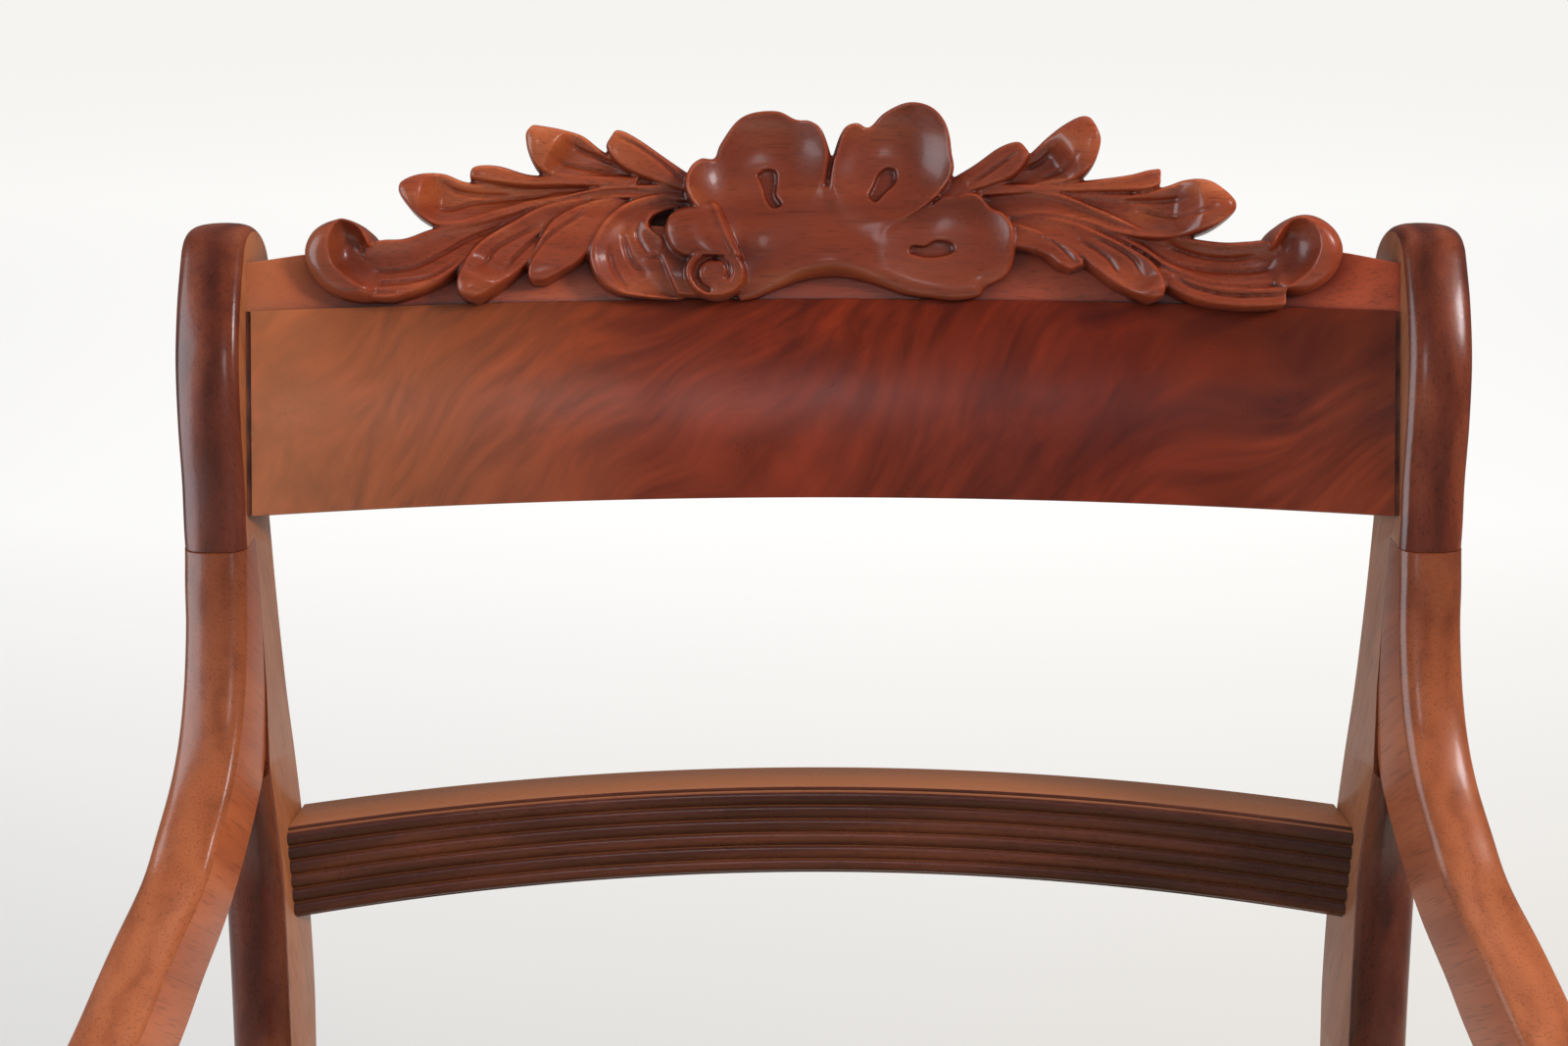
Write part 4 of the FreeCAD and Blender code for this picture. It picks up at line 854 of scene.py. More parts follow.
# Each leaf lobe is given by stations from its root to its tip, in millimetres:
# one edge (along, up), the other edge (along, up), and how far it stands out
LEFT_LEAVES = [
    dict(rows=[
        (-56, 147, -56, 138, 8), (-93, 144.5, -98, 139, 9), (-120, 138, -121, 132, 9.5),
        (-146, 129.5, -140, 120.5, 10), (-166, 124, -155, 106, 10.5), (-178, 119, -168, 97.5, 11),
        (-186, 118, -182, 92, 11.5), (-190, 117, -191, 91.5, 11), (-193, 114, -199, 92, 9),
        (-196, 110, -206, 95, 5.5)],
        dish=0.50, round_two=4.5, ridges=1.0, blunt=3.0,
        veins=[[(-199, 101), (-191, 99), (-179, 100), (-167, 103), (-157, 110)],
               [(-198, 108), (-191, 104.5), (-177, 106), (-165, 112), (-152, 120), (-137, 126)],
               [(-199, 96.5), (-190, 95), (-180, 95.5)]]),
    dict(rows=[
        (-66, 147, -66, 142.5, 7), (-108, 146, -112, 139, 8), (-135, 145, -138, 131, 9.5),
        (-152, 144, -155, 124.5, 11), (-162, 147, -165, 123.5, 12.5), (-170, 146.5, -172.5, 127, 13),
        (-176.5, 144.2, -177.5, 132.5, 12), (-180.8, 141, -180.8, 137.5, 9.5)],
        dish=0.55, cap=0.66, veins=[[(-162, 141.5), (-157, 139.5), (-148, 138.5), (-135, 139)],
                                    [(-165.5, 132), (-160, 132), (-151, 135), (-139, 137), (-120, 139.5)]]),
    dict(rows=[
        (-80, 150, -82, 144, 6), (-110, 149.5, -112, 143, 8), (-126, 148.5, -128, 142, 9.5),
        (-139, 151.5, -140, 142.5, 11), (-147, 151.5, -149, 143.5, 11), (-152.0, 150, -152.5, 145, 9)],
        dish=-0.10),
    dict(rows=[
        (-56, 146, -60, 141, 6), (-80, 152, -86, 143.5, 8), (-95, 159.5, -103, 145.5, 9.5),
        (-104, 166, -116, 146.5, 11), (-112, 168, -123.5, 149.5, 12.5), (-118.5, 168.8, -127.5, 157, 13),
        (-125.2, 169.8, -128.8, 165.5, 11)],
        dish=0.52, cap=0.60, veins=[[(-110, 162), (-104, 159), (-93, 155), (-82, 150)],
                                    [(-116.5, 155.5), (-112, 153.5), (-104, 152), (-93, 150.5)]]),
    dict(rows=[
        (-52, 147, -56, 141, 6), (-68, 157.5, -74, 146.5, 8), (-78, 164.2, -86, 151, 10),
        (-85.5, 168.3, -92.5, 156.5, 11), (-90.5, 169.5, -95, 162.5, 10)],
        dish=-0.05, veins=[[(-88, 165), (-80, 161.5), (-70, 155), (-62, 148)]]),
    dict(rows=[
        (-90, 143, -90, 133, 3), (-118, 137, -110, 123, 8.5), (-134, 128.5, -122, 114, 9.5),
        (-149, 118, -130, 106.5, 10), (-156, 106.5, -138, 99.5, 11.5), (-157.5, 98.5, -145, 94.2, 11.5),
        (-155, 93.5, -149.5, 91.8, 9)],
        dish=0.36, cap=0.64, veins=[[(-146, 107.5), (-142, 115), (-134, 120.5), (-124, 126)],
                                    [(-137.5, 107), (-132, 113.5), (-124, 121), (-114, 127)]]),
    dict(rows=[
        (-84, 142, -80, 133, 2), (-100, 139, -88, 124, 7), (-117, 130, -98, 117.5, 9),
        (-126, 115, -105, 111, 10), (-128.5, 105, -113.5, 105.5, 10), (-126.5, 100.8, -121, 101, 8)],
        dish=-0.08, veins=[[(-127, 110), (-121, 119), (-113, 126), (-104, 132)]]),
    dict(rows=[
        (-56, 143, -56, 137, 7), (-73, 142, -67, 134.5, 9.5), (-85.5, 138, -74, 131.5, 11.5),
        (-95, 130.5, -75, 126.5, 13), (-101, 121, -68.4, 121, 13.5), (-102.5, 112, -69, 114.5, 13.5),
        (-98.5, 103, -63, 110, 13), (-90, 97.5, -61.8, 105, 11.5), (-77, 95.8, -60.4, 100, 9.5),
        (-62, 95.6, -59.4, 97, 7)],
        dish=0.45, round_one=4.2, lean=0.36, blunt=1.5,
        veins=[[(-80, 128), (-81, 123), (-77, 116)], [(-87, 123), (-85, 114), (-79, 106)],
               [(-93, 117), (-91, 108), (-85, 99)], [(-77, 113), (-71, 113.5), (-64, 109)]]),
    dict(rows=[
        (-64.5, 134.5, -48, 138.6, 8), (-67.8, 131, -44.8, 136.5, 11.5), (-69.2, 127, -42.4, 131.5, 12.6),
        (-69.0, 122.5, -40, 126, 12.8), (-66.2, 116.6, -37, 119.5, 12.8),
        (-61, 113.4, -34.0, 112.8, 12.4)],
        dish=-0.34, round_one=2.6, round_two=1.0, lip=1.8, blunt=1.2),
    dict(rows=[
        (-76, 128, -48, 126, 5.5), (-73, 118, -44, 115, 8), (-68, 106, -42, 104, 9),
        (-64, 97, -42, 96, 7)],
        dish=0.0, blunt=1.0),
]
RIGHT_LEAVES = [
    dict(rows=[
        (56, 147, 60, 128, 3), (98, 143, 98, 131, 8.5), (122, 133.5, 118, 125, 9.5),
        (142, 123.5, 136, 115.5, 10), (160, 119.5, 149, 105.5, 10.5), (172, 117.5, 163, 98.5, 11),
        (182, 117.5, 178, 96, 11), (188, 117.5, 189, 96.5, 10), (193, 113, 198, 97.5, 7.5),
        (197, 108, 204, 100, 5)],
        dish=0.50, round_two=3.5, ridges=1.0, blunt=3.0,
        veins=[[(140, 118), (150, 110), (162, 106), (174, 104.5), (185, 104.5), (196, 107)],
               [(150, 117), (160, 112.5), (172, 110), (184, 110.5)]]),
    dict(rows=[
        (136, 113, 132, 108, 7), (150, 106.5, 145, 100, 9), (164, 100.5, 161, 91.5, 10.5),
        (180, 98, 177, 88.3, 11.5), (190, 97.8, 188, 87.8, 12), (195.8, 98, 195.8, 88.2, 12)],
        dish=0.12, blunt=0.7, veins=[[(152, 103), (160, 98), (172, 94.5), (184, 93.5), (194, 93.8)]]),
    dict(rows=[
        (60, 142.5, 60, 131, 3), (112, 141.5, 106, 129.5, 8), (134, 140, 128, 122, 9.5),
        (148, 142.5, 144, 119, 11), (156, 144.8, 156, 119.5, 12.5), (164, 144, 165, 121.5, 13.5),
        (171.5, 138.8, 171.5, 125.2, 12.5), (176.6, 133.2, 176.6, 129.8, 9.5)],
        dish=0.60, cap=0.60, veins=[[(163, 130), (156, 129), (148, 130), (138, 133)],
                                    [(157, 137), (146, 136), (132, 136.5)]]),
    dict(rows=[
        (52, 148, 56, 140, 6), (92, 146, 94, 141, 8), (113, 146.5, 113, 140.5, 9.5),
        (132, 148, 131, 140, 11), (141, 149.8, 140, 140, 11.5), (146, 150.2, 146, 142, 11.5)],
        dish=0.15, blunt=0.6),
    dict(rows=[
        (52, 146, 58, 140, 6), (82, 151, 90, 143.5, 8), (92, 159.5, 102, 144.5, 10),
        (99, 166, 111, 145.8, 12), (106, 171, 117, 150, 13.5), (112.5, 173.6, 120.2, 158, 13.5),
        (117.5, 171.2, 120.5, 165, 12)],
        dish=0.58, cap=0.52,
        veins=[[(88, 151.5), (96, 155), (102, 160.5)], [(96, 147.5), (105, 151), (110, 156)]]),
    dict(rows=[
        (48, 144, 52, 138, 6), (66, 154, 72, 143.5, 8), (77, 161.5, 84, 148, 10), (84, 164, 90.5, 155, 11),
        (88.5, 163, 91.5, 159, 9.5)],
        dish=-0.05, veins=[[(84, 158), (76, 152.5), (66, 146)]]),
    dict(rows=[
        (72, 137, 70, 128, 4), (106, 130.5, 98, 121, 7.5), (122, 123.5, 110, 114.5, 9),
        (135, 116, 118, 107.5, 10), (143.5, 109.5, 127, 100, 11), (148.3, 101, 135.5, 95, 11),
        (147.8, 93.5, 142, 92, 9)],
        dish=0.32, cap=0.82, veins=[[(113, 120), (121, 115), (126, 110), (129, 104)],
                                    [(119, 121.5), (128, 116.5), (135, 111), (138, 105)]]),
    dict(rows=[
        (64, 135, 66, 121, 2), (90, 128, 84, 118, 7), (104, 121, 97, 114, 8.5),
        (113, 113.5, 103, 109.3, 10), (115.5, 109, 109, 106.5, 9)],
        dish=0.15, veins=[[(98, 122), (105, 117), (109.5, 111.5)]]),
]

# The curls at the ends of the stems: outer edge, rim of the bowl, middle of the bowl,
# and the way that the stem comes in, in degrees
CURLS = [
    dict(outer=[
        (-184, 96), (-192, 91.5), (-202, 91.8), (-211, 96), (-217, 104), (-218.5, 112), (-215.5, 119.5),
        (-209.5, 124), (-202, 125.3), (-195.5, 123.3), (-191.5, 118.5), (-190, 112), (-187, 104)],
        rim=[
            (-190.6, 113.4), (-191.8, 117.2), (-195, 122), (-201, 124), (-204.8, 120.3), (-206.7, 113.4),
            (-205.5, 106), (-201.1, 101.5), (-195, 97), (-190, 98), (-188, 106)],
        middle=(-198.5, 111.5), stem=-22, veins=[[(-191.5, 117.5), (-192.5, 113.5), (-191.5, 109.5)]]),
    dict(outer=[
        (190, 99), (197, 94.8), (205, 94.4), (212, 98), (217, 104), (219, 112), (216.5, 119.5), (211, 125),
        (204, 127.6), (196.5, 125.8), (190.5, 119.8), (188.8, 112)],
        rim=[
            (189.2, 112), (189.8, 118), (193.5, 123), (199.2, 124.8), (204, 121.8), (206.6, 117.5),
            (207.3, 111.4), (204.5, 103.9), (200, 99.5), (195.5, 97), (190, 101)],
        middle=(198.5, 111.5), stem=202, veins=[[(191, 118), (192.5, 114)]]),
]

# The three petals of the shell: outline, middle and half widths of the bowl, height of the rim, keyhole
PETALS = [
    dict(outline=[
        (0, 108), (6, 118), (22, 128), (44, 135), (53, 140), (64, 143), (70, 141.5), (75, 136),
        (80, 133.5), (84.5, 127.5), (86, 119), (84.5, 110), (80, 104.5), (73, 101), (70, 97), (60, 95.5),
        (50, 96.5), (37, 98.5), (21, 104), (8, 107)],
        middle=(58, 122), oval=(30, 28), rim=14.5, keyhole=[
            (39, 116), (40, 119.5), (46, 119.5), (51, 122), (58, 120.5), (58.5, 116.5), (52, 114.5),
            (45, 114.5)]),
    dict(outline=[
        (6, 160), (8, 168), (11, 172), (16, 173.5), (21, 172), (27, 177.5), (35, 181), (42, 181),
        (49, 178), (54, 172.5), (56.5, 166), (57.5, 159), (58.5, 152), (53, 143), (44, 135), (28, 126),
        (14, 113), (0, 108), (-4, 122), (0, 138), (3, 150)],
        middle=(30, 153), oval=(29, 29), rim=17.0, keyhole=[
            (25, 151), (28.5, 154), (33, 153), (33, 147.5), (28.5, 143), (24, 138.5), (21, 141.5),
            (23, 146)]),
    dict(outline=[
        (-58, 137), (-60.5, 145), (-58, 153), (-53, 157.5), (-47.5, 158), (-45, 164), (-38, 173.5),
        (-30, 177.5), (-19, 178), (-11, 174.5), (-5, 173.5), (0.5, 169.5), (4.5, 160), (3.5, 151),
        (1, 138), (0, 125), (2, 108), (-18, 104), (-34, 96), (-40, 104), (-44, 116), (-51, 128)],
        middle=(-26, 149), oval=(32, 30), rim=16.0, keyhole=[
            (-28.5, 151), (-25, 153.5), (-20, 152.5), (-19.5, 147), (-20, 142), (-17.5, 137.5),
            (-21.5, 136), (-24.5, 140), (-26, 145.5)]),
]
SHELL_EDGE = [
    (-36, 95.5), (-29, 96.8), (-21, 100), (-12, 103.5), (-3, 105.8), (8, 106.5), (21, 104), (37, 98.5),
    (50, 96.5), (60, 95.5), (70, 97), (73, 101), (80, 104.5), (84.5, 110), (86, 119), (84.5, 127.5),
    (80, 133.5), (75, 136), (70, 141.5), (64, 143), (57, 142.5), (58.5, 152), (57.5, 159), (56.5, 166),
    (54, 172.5), (49, 178), (42, 181), (35, 181), (27, 177.5), (21, 172), (16, 173.5), (11, 172), (8, 168),
    (5.5, 161), (4.5, 160), (0.5, 169.5), (-5, 173.5), (-11, 174.5), (-19, 178), (-30, 177.5),
    (-38, 173.5), (-45, 164), (-47.5, 158), (-53, 157.5), (-58, 153), (-60.5, 145), (-58, 137), (-51, 128),
    (-44, 116), (-41, 104)]
SHELL_MIDDLE = (12, 132)
THROAT = (2.0, 113.0)

CARVING_FOOT = 1.5
CARVING_BACK = -9.0


def closed(outline):
    """An outline with its first place once more at its end."""
    return outline + outline[:1]


def line_distance(along, up, line):
    """Least distance from places to a line of several straight runs."""
    best = np.full(np.shape(along), 1e9)
    for (ax, ay), (bx, by) in zip(line[:-1], line[1:]):
        dx, dy = bx - ax, by - ay
        share = np.clip(((along - ax) * dx + (up - ay) * dy) / (dx * dx + dy * dy + 1e-12), 0, 1)
        best = np.minimum(best, np.hypot(along - ax - share * dx, up - ay - share * dy))
    return best


def depth_inside(along, up, outline, steps):
    """How far places lie inside a smooth closed outline, less than nothing outside it."""
    edge = smooth_run(closed(outline), steps)
    crossings = np.zeros(np.shape(along), dtype=int)
    for (ax, ay), (bx, by) in zip(edge[:-1], edge[1:]):
        if ay != by:
            spans = (ay > up) != (by > up)
            crossings += spans & (along < ax + (up - ay) / (by - ay) * (bx - ax))
    away = line_distance(along, up, edge)
    return np.where(crossings % 2 == 1, away, -away)


def rounded(inwards, radius):
    """Share of the full height at a distance in from a rounded edge."""
    return np.sqrt(1 - (1 - np.clip(inwards / radius, 0, 1)) ** 2)


def groove(distance, deep, wide):
    """How deep a round groove is at a distance from its middle line."""
    return deep * np.exp(-(distance / wide) ** 2)


def above_foot(high, share):
    """A height drawn down towards the foot of the carving."""
    return CARVING_FOOT + (high - CARVING_FOOT) * share


def scored(high, along, up, veins):
    """Cut the carver's veins, which grow shallower towards both ends."""
    for vein in veins:
        line = smooth_run(vein, 6)
        tip = np.minimum(*(np.hypot(along - end[0], up - end[1]) for end in (line[0], line[-1])))
        high = high - groove(line_distance(along, up, line), 1.5, 0.85) * np.clip(0.3 + tip / 6, 0, 1)
    return high


def relief_mesh(place, along, up, high, closed_ring):
    """A carved surface on the hollow back, from rows of places and heights, with its back closed.

    The rows are rings about a middle, or they run from edge to edge of a lobe."""
    scale = MM * sizes().relief / 0.010
    surface = place.plumb(along * MM, up * MM, high * scale)
    if closed_ring:
        inset, way = 0.04, 0
        centre = along[0].mean(), up[0].mean()
        edge = along[-1:], up[-1:]
    else:
        inset, way = 0.12, 1
        centre = (along[:, :1] + along[:, -1:]) / 2, (up[:, :1] + up[:, -1:]) / 2
        edge = along[:, [-1, 0]], up[:, [-1, 0]]
    foot = place.plumb(mix(inset, edge[0], centre[0]) * MM, mix(inset, edge[1], centre[1]) * MM,
                       np.full_like(edge[0], CARVING_BACK * MM))
    return lofted(np.concatenate([surface, foot], axis=way).tolist())


def leaf(place, rows, dish=0.4, cap=1.2, round_one=2.2, round_two=2.2, ridges=0.0, lean=0.0, lip=0.0,
         blunt=2.4, veins=()):
    """One carved lobe: a rounded blade, gouged along its length, with its tip turned over."""
    runs = np.array(smooth_run(rows, 14))
    ax, ay, bx, by, proud = (runs[:, column, None] for column in range(5))
    share = np.linspace(0, 1, len(runs))[:, None]
    even = np.linspace(0, 1, 41)[None, :]
    v = 0.5 * even + 0.5 * (0.5 - 0.5 * np.cos(np.pi * even))
    along, up = mix(v, ax, bx), mix(v, ay, by)
    wide = np.hypot(bx - ax, by - ay)
    middle = (runs[:, [0, 1]] + runs[:, [2, 3]]) / 2
    walked = np.concatenate([[0], np.cumsum(np.hypot(*np.diff(middle, axis=0).T))])[:, None]
    turned = ease(cap - 0.10, cap + 0.05, share)
    body = 1 - mix(turned, dish, -0.30) * (1 - (2 * v - 1) ** 2) - lean * v
    body = body + 0.05 * np.cos(2 * np.pi * ridges * v) * (1 - turned) * (ridges > 0)
    body = body + groove(v - 0.90, lip / 14, 0.05)
    edge = rounded(v * wide, np.minimum(round_one, 0.45 * wide + 0.01))
    edge = edge * rounded((1 - v) * wide, np.minimum(round_two, 0.6 * wide + 0.01))
    edge = edge * np.maximum(0.12, rounded(walked[-1] - walked, blunt))
    high = CARVING_FOOT + (proud - CARVING_FOOT) * edge * body
    return relief_mesh(place, along, up, scored(high, along, up, veins), False)


def reach_by_angle(outline, middle, angles):
    """How far a closed outline lies from its middle in each direction."""
    away = np.array(smooth_run(closed(outline), 8))[:-1] - middle
    turn = np.arctan2(away[:, 1], away[:, 0])
    order = np.argsort(turn)
    return np.interp(angles, turn[order], np.hypot(*away[order].T), period=2 * np.pi)


def round_places(outline, middle, rings, spokes):
    """Places on rings from the middle of an outline out to its edge."""
    angles = np.linspace(-np.pi, np.pi, spokes, endpoint=False)[None, :]
    reach = reach_by_angle(outline, middle, angles)
    share = 1 - (1 - np.linspace(1 / rings, 1, rings)[:, None]) ** 1.4
    away = share * reach
    return angles, share, reach, middle[0] + away * np.cos(angles), middle[1] + away * np.sin(angles)


def curl(place, outer, rim, middle, stem, veins):
    """The curled end of a stem: a ball with a bowl in it, open to the stem."""
    angles, share, reach, along, up = round_places(outer, middle, 60, 240)
    away = share * reach
    lip = np.minimum(reach_by_angle(rim, middle, angles), reach - 1.2)
    swing = np.angle(np.exp(1j * (angles - math.radians(stem))))
    opened = np.exp(-(swing / 0.72) ** 4)
    top = mix(opened, 13.8 + 1.6 * np.sin(angles), 4.6)
    bowl_foot = 6.4
    bowl = bowl_foot + (top - bowl_foot) * np.clip(away / lip, 0, 1) ** 3.0
    beyond = np.clip((away - lip) / (reach - lip), 0, 1)
    ball = above_foot(top, np.sqrt(1 - beyond ** 1.9))
    return relief_mesh(place, along, up, scored(np.where(away < lip, bowl, ball), along, up, veins), True)


def with_petal(high, floor, from_throat, along, up, outline, middle, oval, rim, keyhole):
    """Lay one dished petal, with its keyhole, over the heights so far."""
    inwards = depth_inside(along, up, outline, 5)
    out = np.clip(np.hypot((along - middle[0]) / oval[0], (up - middle[1]) / oval[1]), 0, 1.04)
    reach_x, reach_y = middle[0] - THROAT[0], middle[1] - THROAT[1]
    outward = ((along - THROAT[0]) * reach_x + (up - THROAT[1]) * reach_y) / (reach_x ** 2 + reach_y ** 2)
    raised = ease(0.30, 0.95, outward) * mix(ease(104, 138, up), 0.25, 1.0)
    dished = floor + (rim - floor) * out ** 2.9 * raised
    soft = mix(ease(16, 42, from_throat), 10.0, 0.5)
    high = mix(ease(-soft, soft, inwards), high, dished)
    return high - 2.4 * ease(-0.4, 0.8, depth_inside(along, up, keyhole, 6))


def shell(place):
    """Three petals that run together in one throat, each with its keyhole."""
    _, _, _, along, up = round_places(SHELL_EDGE, SHELL_MIDDLE, 150, 620)
    from_throat = np.hypot(along - THROAT[0], up - THROAT[1])
    floor = 4.4 + 6.0 * np.exp(-(from_throat / 26) ** 2)
    high = floor
    for petal in PETALS:
        high = with_petal(high, floor, from_throat, along, up, **petal)
    cleft = line_distance(along, up, [(5, 166), (4, 156), (2.5, 146)])
    high = high - groove(cleft, 4.0, 1.3) * ease(136, 160, up)
    inwards = depth_inside(along, up, SHELL_EDGE, 5).clip(0)
    high = above_foot(high, rounded(inwards, mix(ease(102, 130, up), 8.0, 2.4)))
    return relief_mesh(place, along, up, high, True)


def snail(place):
    """The snail at the end of the rolled leaf."""
    middle_x, middle_y = -46.6, 106.6
    outline = []
    for step in range(24):
        angle = 2 * math.pi * step / 24
        outline.append((middle_x + 13.9 * math.cos(angle), middle_y + 11.4 * math.sin(angle)))
    _, share, reach, along, up = round_places(outline, (middle_x, middle_y), 70, 200)
    spiral = []
    for step in range(25):
        turn = math.radians(mix(step / 24, 250, -25))
        away = mix(step / 24, 8.6, 5.2)
        spiral.append((middle_x + 1.1 * away * math.cos(turn), middle_y + 0.95 * away * math.sin(turn)))
    high = 14.4 + 0.10 * (up - middle_y) - 0.10 * (along - middle_x)
    high = high - groove(line_distance(along, up, spiral[:15]), 2.7, 1.5)
    high = high - groove(line_distance(along, up, spiral[14:]), 1.7, 1.0)
    return relief_mesh(place, along, up, above_foot(high, rounded(reach * (1 - share), 2.0)), True)


BOARD_TOP = [(-242.4, 106.5), (-222, 111), (-206, 113), (-160, 114), (-128, 136), (-70, 143), (-30, 154),
             (30, 156), (70, 143), (128, 136), (160, 114), (206, 114), (222, 112), (242.4, 106.5)]


def crest_board(place):
    """The board behind the carving."""
    soft = 0.0008
    front, back = -0.0015, -0.0175
    rings = []
    for along, bow in place.stations(160):
        low = TABLET_TALL + TABLET_TOP_RISE * bow
        high = np.interp(along / MM, *zip(*BOARD_TOP)) * MM
        section = [
            (low, front), (low, back), (high - soft, back), (high, back + soft), (high, front - soft),
            (high - soft * 0.3, front - soft * 0.3), (high - soft, front)]
        rings.append([place.plumb(along, up, proud) for up, proud in section])
    return lofted(rings)


# The drop-in seat

SEAT_FRONT = -0.290
SEAT_BACK = 0.109
SEAT_MIDDLE = (SEAT_FRONT + SEAT_BACK) / 2
HALF_DEEP = (SEAT_BACK - SEAT_FRONT) / 2
HEM_FOOT = 0.412
FRAME_TOP = 0.4332
PAD_FOOT = 0.4364
FRAME_INSET = 0.028
CORNER_ROUND = 0.015
HEM_WIDE = 0.022
COVER_OUT = 0.0013
COVER_THICK = 0.0012
BULGE = 0.0024
WEB_THICK = 0.0011
WEB_WIDE = 0.050
WEB_SHORT = 0.010
CROWN = 0.033
CROWN_STEPS = 22


def seat_half(y):
    """Half the width of the seat's frame at a place from front to back."""
    return rail_face(y) - FRAME_INSET


def seat_plan(grow, radius, up):
    """The seat's plan, grown outwards by a distance, with round corners."""
    front, back = SEAT_FRONT - grow, SEAT_BACK + grow
    near, far = seat_half(front) + grow, seat_half(back) + grow
    corners = [Vector((x, y, up)) for x, y in ((-near, front), (near, front), (far, back), (-far, back))]
    ring = []
    for index, here in enumerate(corners):
        into = (here - corners[index - 1]).normalized()
        away = (corners[(index + 1) % 4] - here).normalized()
        for step in range(9):
            turn = math.pi / 2 * step / 8
            ring.append(here - into * radius * (1 - math.sin(turn)) + away * radius * (1 - math.cos(turn)))
    return ring


def pad_rings():
    """The stuffed seat before it swells: round the frame, then up over the crown.

    It starts below the hem, so that the hem's edge can be set flat afterwards."""
    rings = [seat_plan(COVER_OUT, CORNER_ROUND, up) for up in (HEM_FOOT - 0.010, PAD_FOOT)]
    for step in range(CROWN_STEPS + 1):
        inwards = 0.9 * (step / CROWN_STEPS) ** 2
        inset = inwards * HALF_DEEP
        rise = (1 - (1 - inwards) ** 4.4) ** 0.43
        corner = min(CORNER_ROUND + 0.55 * inset, 0.9 * (HALF_DEEP - inset))
        rings.append(seat_plan(COVER_OUT - inset, corner, PAD_FOOT + 0.001 + rise * CROWN))
    return rings


def swell(pad, pressure, most):
    """Let the stuffing press the cover out, and scale the moves so that none is more than most."""
    rest = [vertex.co.copy() for vertex in pad.data.vertices]
    held = pad.vertex_groups.new(name="nailed to the frame")
    held.add([index for index, place in enumerate(rest) if place.z < PAD_FOOT], 1.0, "REPLACE")
    cloth = pad.modifiers.new("pressed out", "CLOTH")
    cloth.settings.vertex_group_mass = held.name
    cloth.settings.use_pressure = True
    cloth.settings.uniform_pressure_force = pressure
    cloth.settings.quality = 5
    cloth.settings.effector_weights.gravity = 0.0
    cloth.collision_settings.use_self_collision = False
    scene = bpy.context.scene
    for moment in range(1, 21):
        scene.frame_set(moment)
    apply_modifiers(pad)
    moves = [vertex.co - start for vertex, start in zip(pad.data.vertices, rest)]
    share = min(1.0, most / max(move.length for move in moves))
    for vertex, start, move in zip(pad.data.vertices, rest, moves):
        vertex.co = start + move * share * float(ease(PAD_FOOT, PAD_FOOT + 0.010, start.z))
    scene.frame_set(1)


def within_plan(place):
    """Keep the pad off the stiles, from hanging over the rails, and above its hem."""
    wide = seat_half(place.y) + BULGE
    place.x = min(wide, max(-wide, place.x))
    place.y = min(SEAT_BACK + 0.0015, max(SEAT_FRONT - BULGE, place.y))
    place.z = max(HEM_FOOT, place.z)


def pleated(pad):
    """Fold the cover at the corners, where it is drawn down and nailed."""
    for corner in seat_plan(0.0, 0.0, 0.0)[::9]:
        out = Vector((math.copysign(1, corner.x), math.copysign(1, corner.y - SEAT_MIDDLE), 0)).normalized()
        for vertex in pad.data.vertices:
            apart = Vector((vertex.co.x - corner.x, vertex.co.y - corner.y, 0))
            aside = abs(apart.x * out.y - apart.y * out.x)
            near = math.exp(-(apart.length / 0.020) ** 4)
            near *= float(ease(PAD_FOOT - 0.003, PAD_FOOT + 0.006, vertex.co.z))
            for shift, depth in ((0.0, 0.0016), (0.0075, 0.0010)):
                vertex.co -= out * (depth * near * math.exp(-((aside - shift) / 0.0024) ** 2))


def seat_pad():
    """The swollen form that the cover and the stuffing share."""
    pad = scratch_piece("pad", *lofted(pad_rings()))
    voxels(pad, "even cloth", 0.0055).use_smooth_shade = True
    apply_modifiers(pad)
    swell(pad, 4.0, sizes().swell)
    finer = pad.modifiers.new("finer", "SUBSURF")
    finer.levels = 1
    finer.render_levels = 1
    apply_modifiers(pad)
    for vertex in pad.data.vertices:
        within_plan(vertex.co)
    pleated(pad)
    return pad


def moved_in(mesh, distance):
    """Points of a mesh, drawn in along its own surface's direction."""
    return [vertex.co - vertex.normal * distance for vertex in mesh.vertices]


def cover_piece(pad):
    """The cover: a skin over the crown and down the sides, turned under the frame."""
    outside, faces = plain_mesh(pad)
    inside_faces = [tuple(reversed(face)) for face in faces]
    points, faces = joined([(outside, faces), (moved_in(pad.data, COVER_THICK), inside_faces)])
    mouth = [seat_plan(-HEM_WIDE, 0.006, up) for up in (HEM_FOOT - 0.004, HEM_FOOT + 0.003)]
    cover = make_piece("seat_pad_cover", points, faces, "cover", "drop_in_seat", ["seat_cover"], "seat_cover")
    cut_away(cover, scratch_piece("mouth", *lofted(mouth)))
    shade_smooth(cover.data)


def stuffing_piece(pad):
    """The curled hair in its linen, flat where it lies on the hessian."""
    shaper = bmesh.new()
    shaper.from_mesh(pad.data)
    for vertex, place in zip(shaper.verts, moved_in(pad.data, COVER_THICK + 0.0005)):
        vertex.co = place
    everything = shaper.verts[:] + shaper.edges[:] + shaper.faces[:]
    bmesh.ops.bisect_plane(shaper, geom=everything, plane_co=(0, 0, PAD_FOOT + 0.0002), plane_no=(0, 0, 1),
                           clear_inner=True)
    bmesh.ops.holes_fill(shaper, edges=[edge for edge in shaper.edges if edge.is_boundary])
    points = [vertex.co.copy() for vertex in shaper.verts]
    shaper.verts.index_update()
    faces = [tuple(vertex.index for vertex in face.verts) for face in shaper.faces]
    shaper.free()
    stuffing = make_piece("seat_pad_stuffing", points, faces, "stuffing", "drop_in_seat", ["seat_stuffing"],
                          "stuffing")


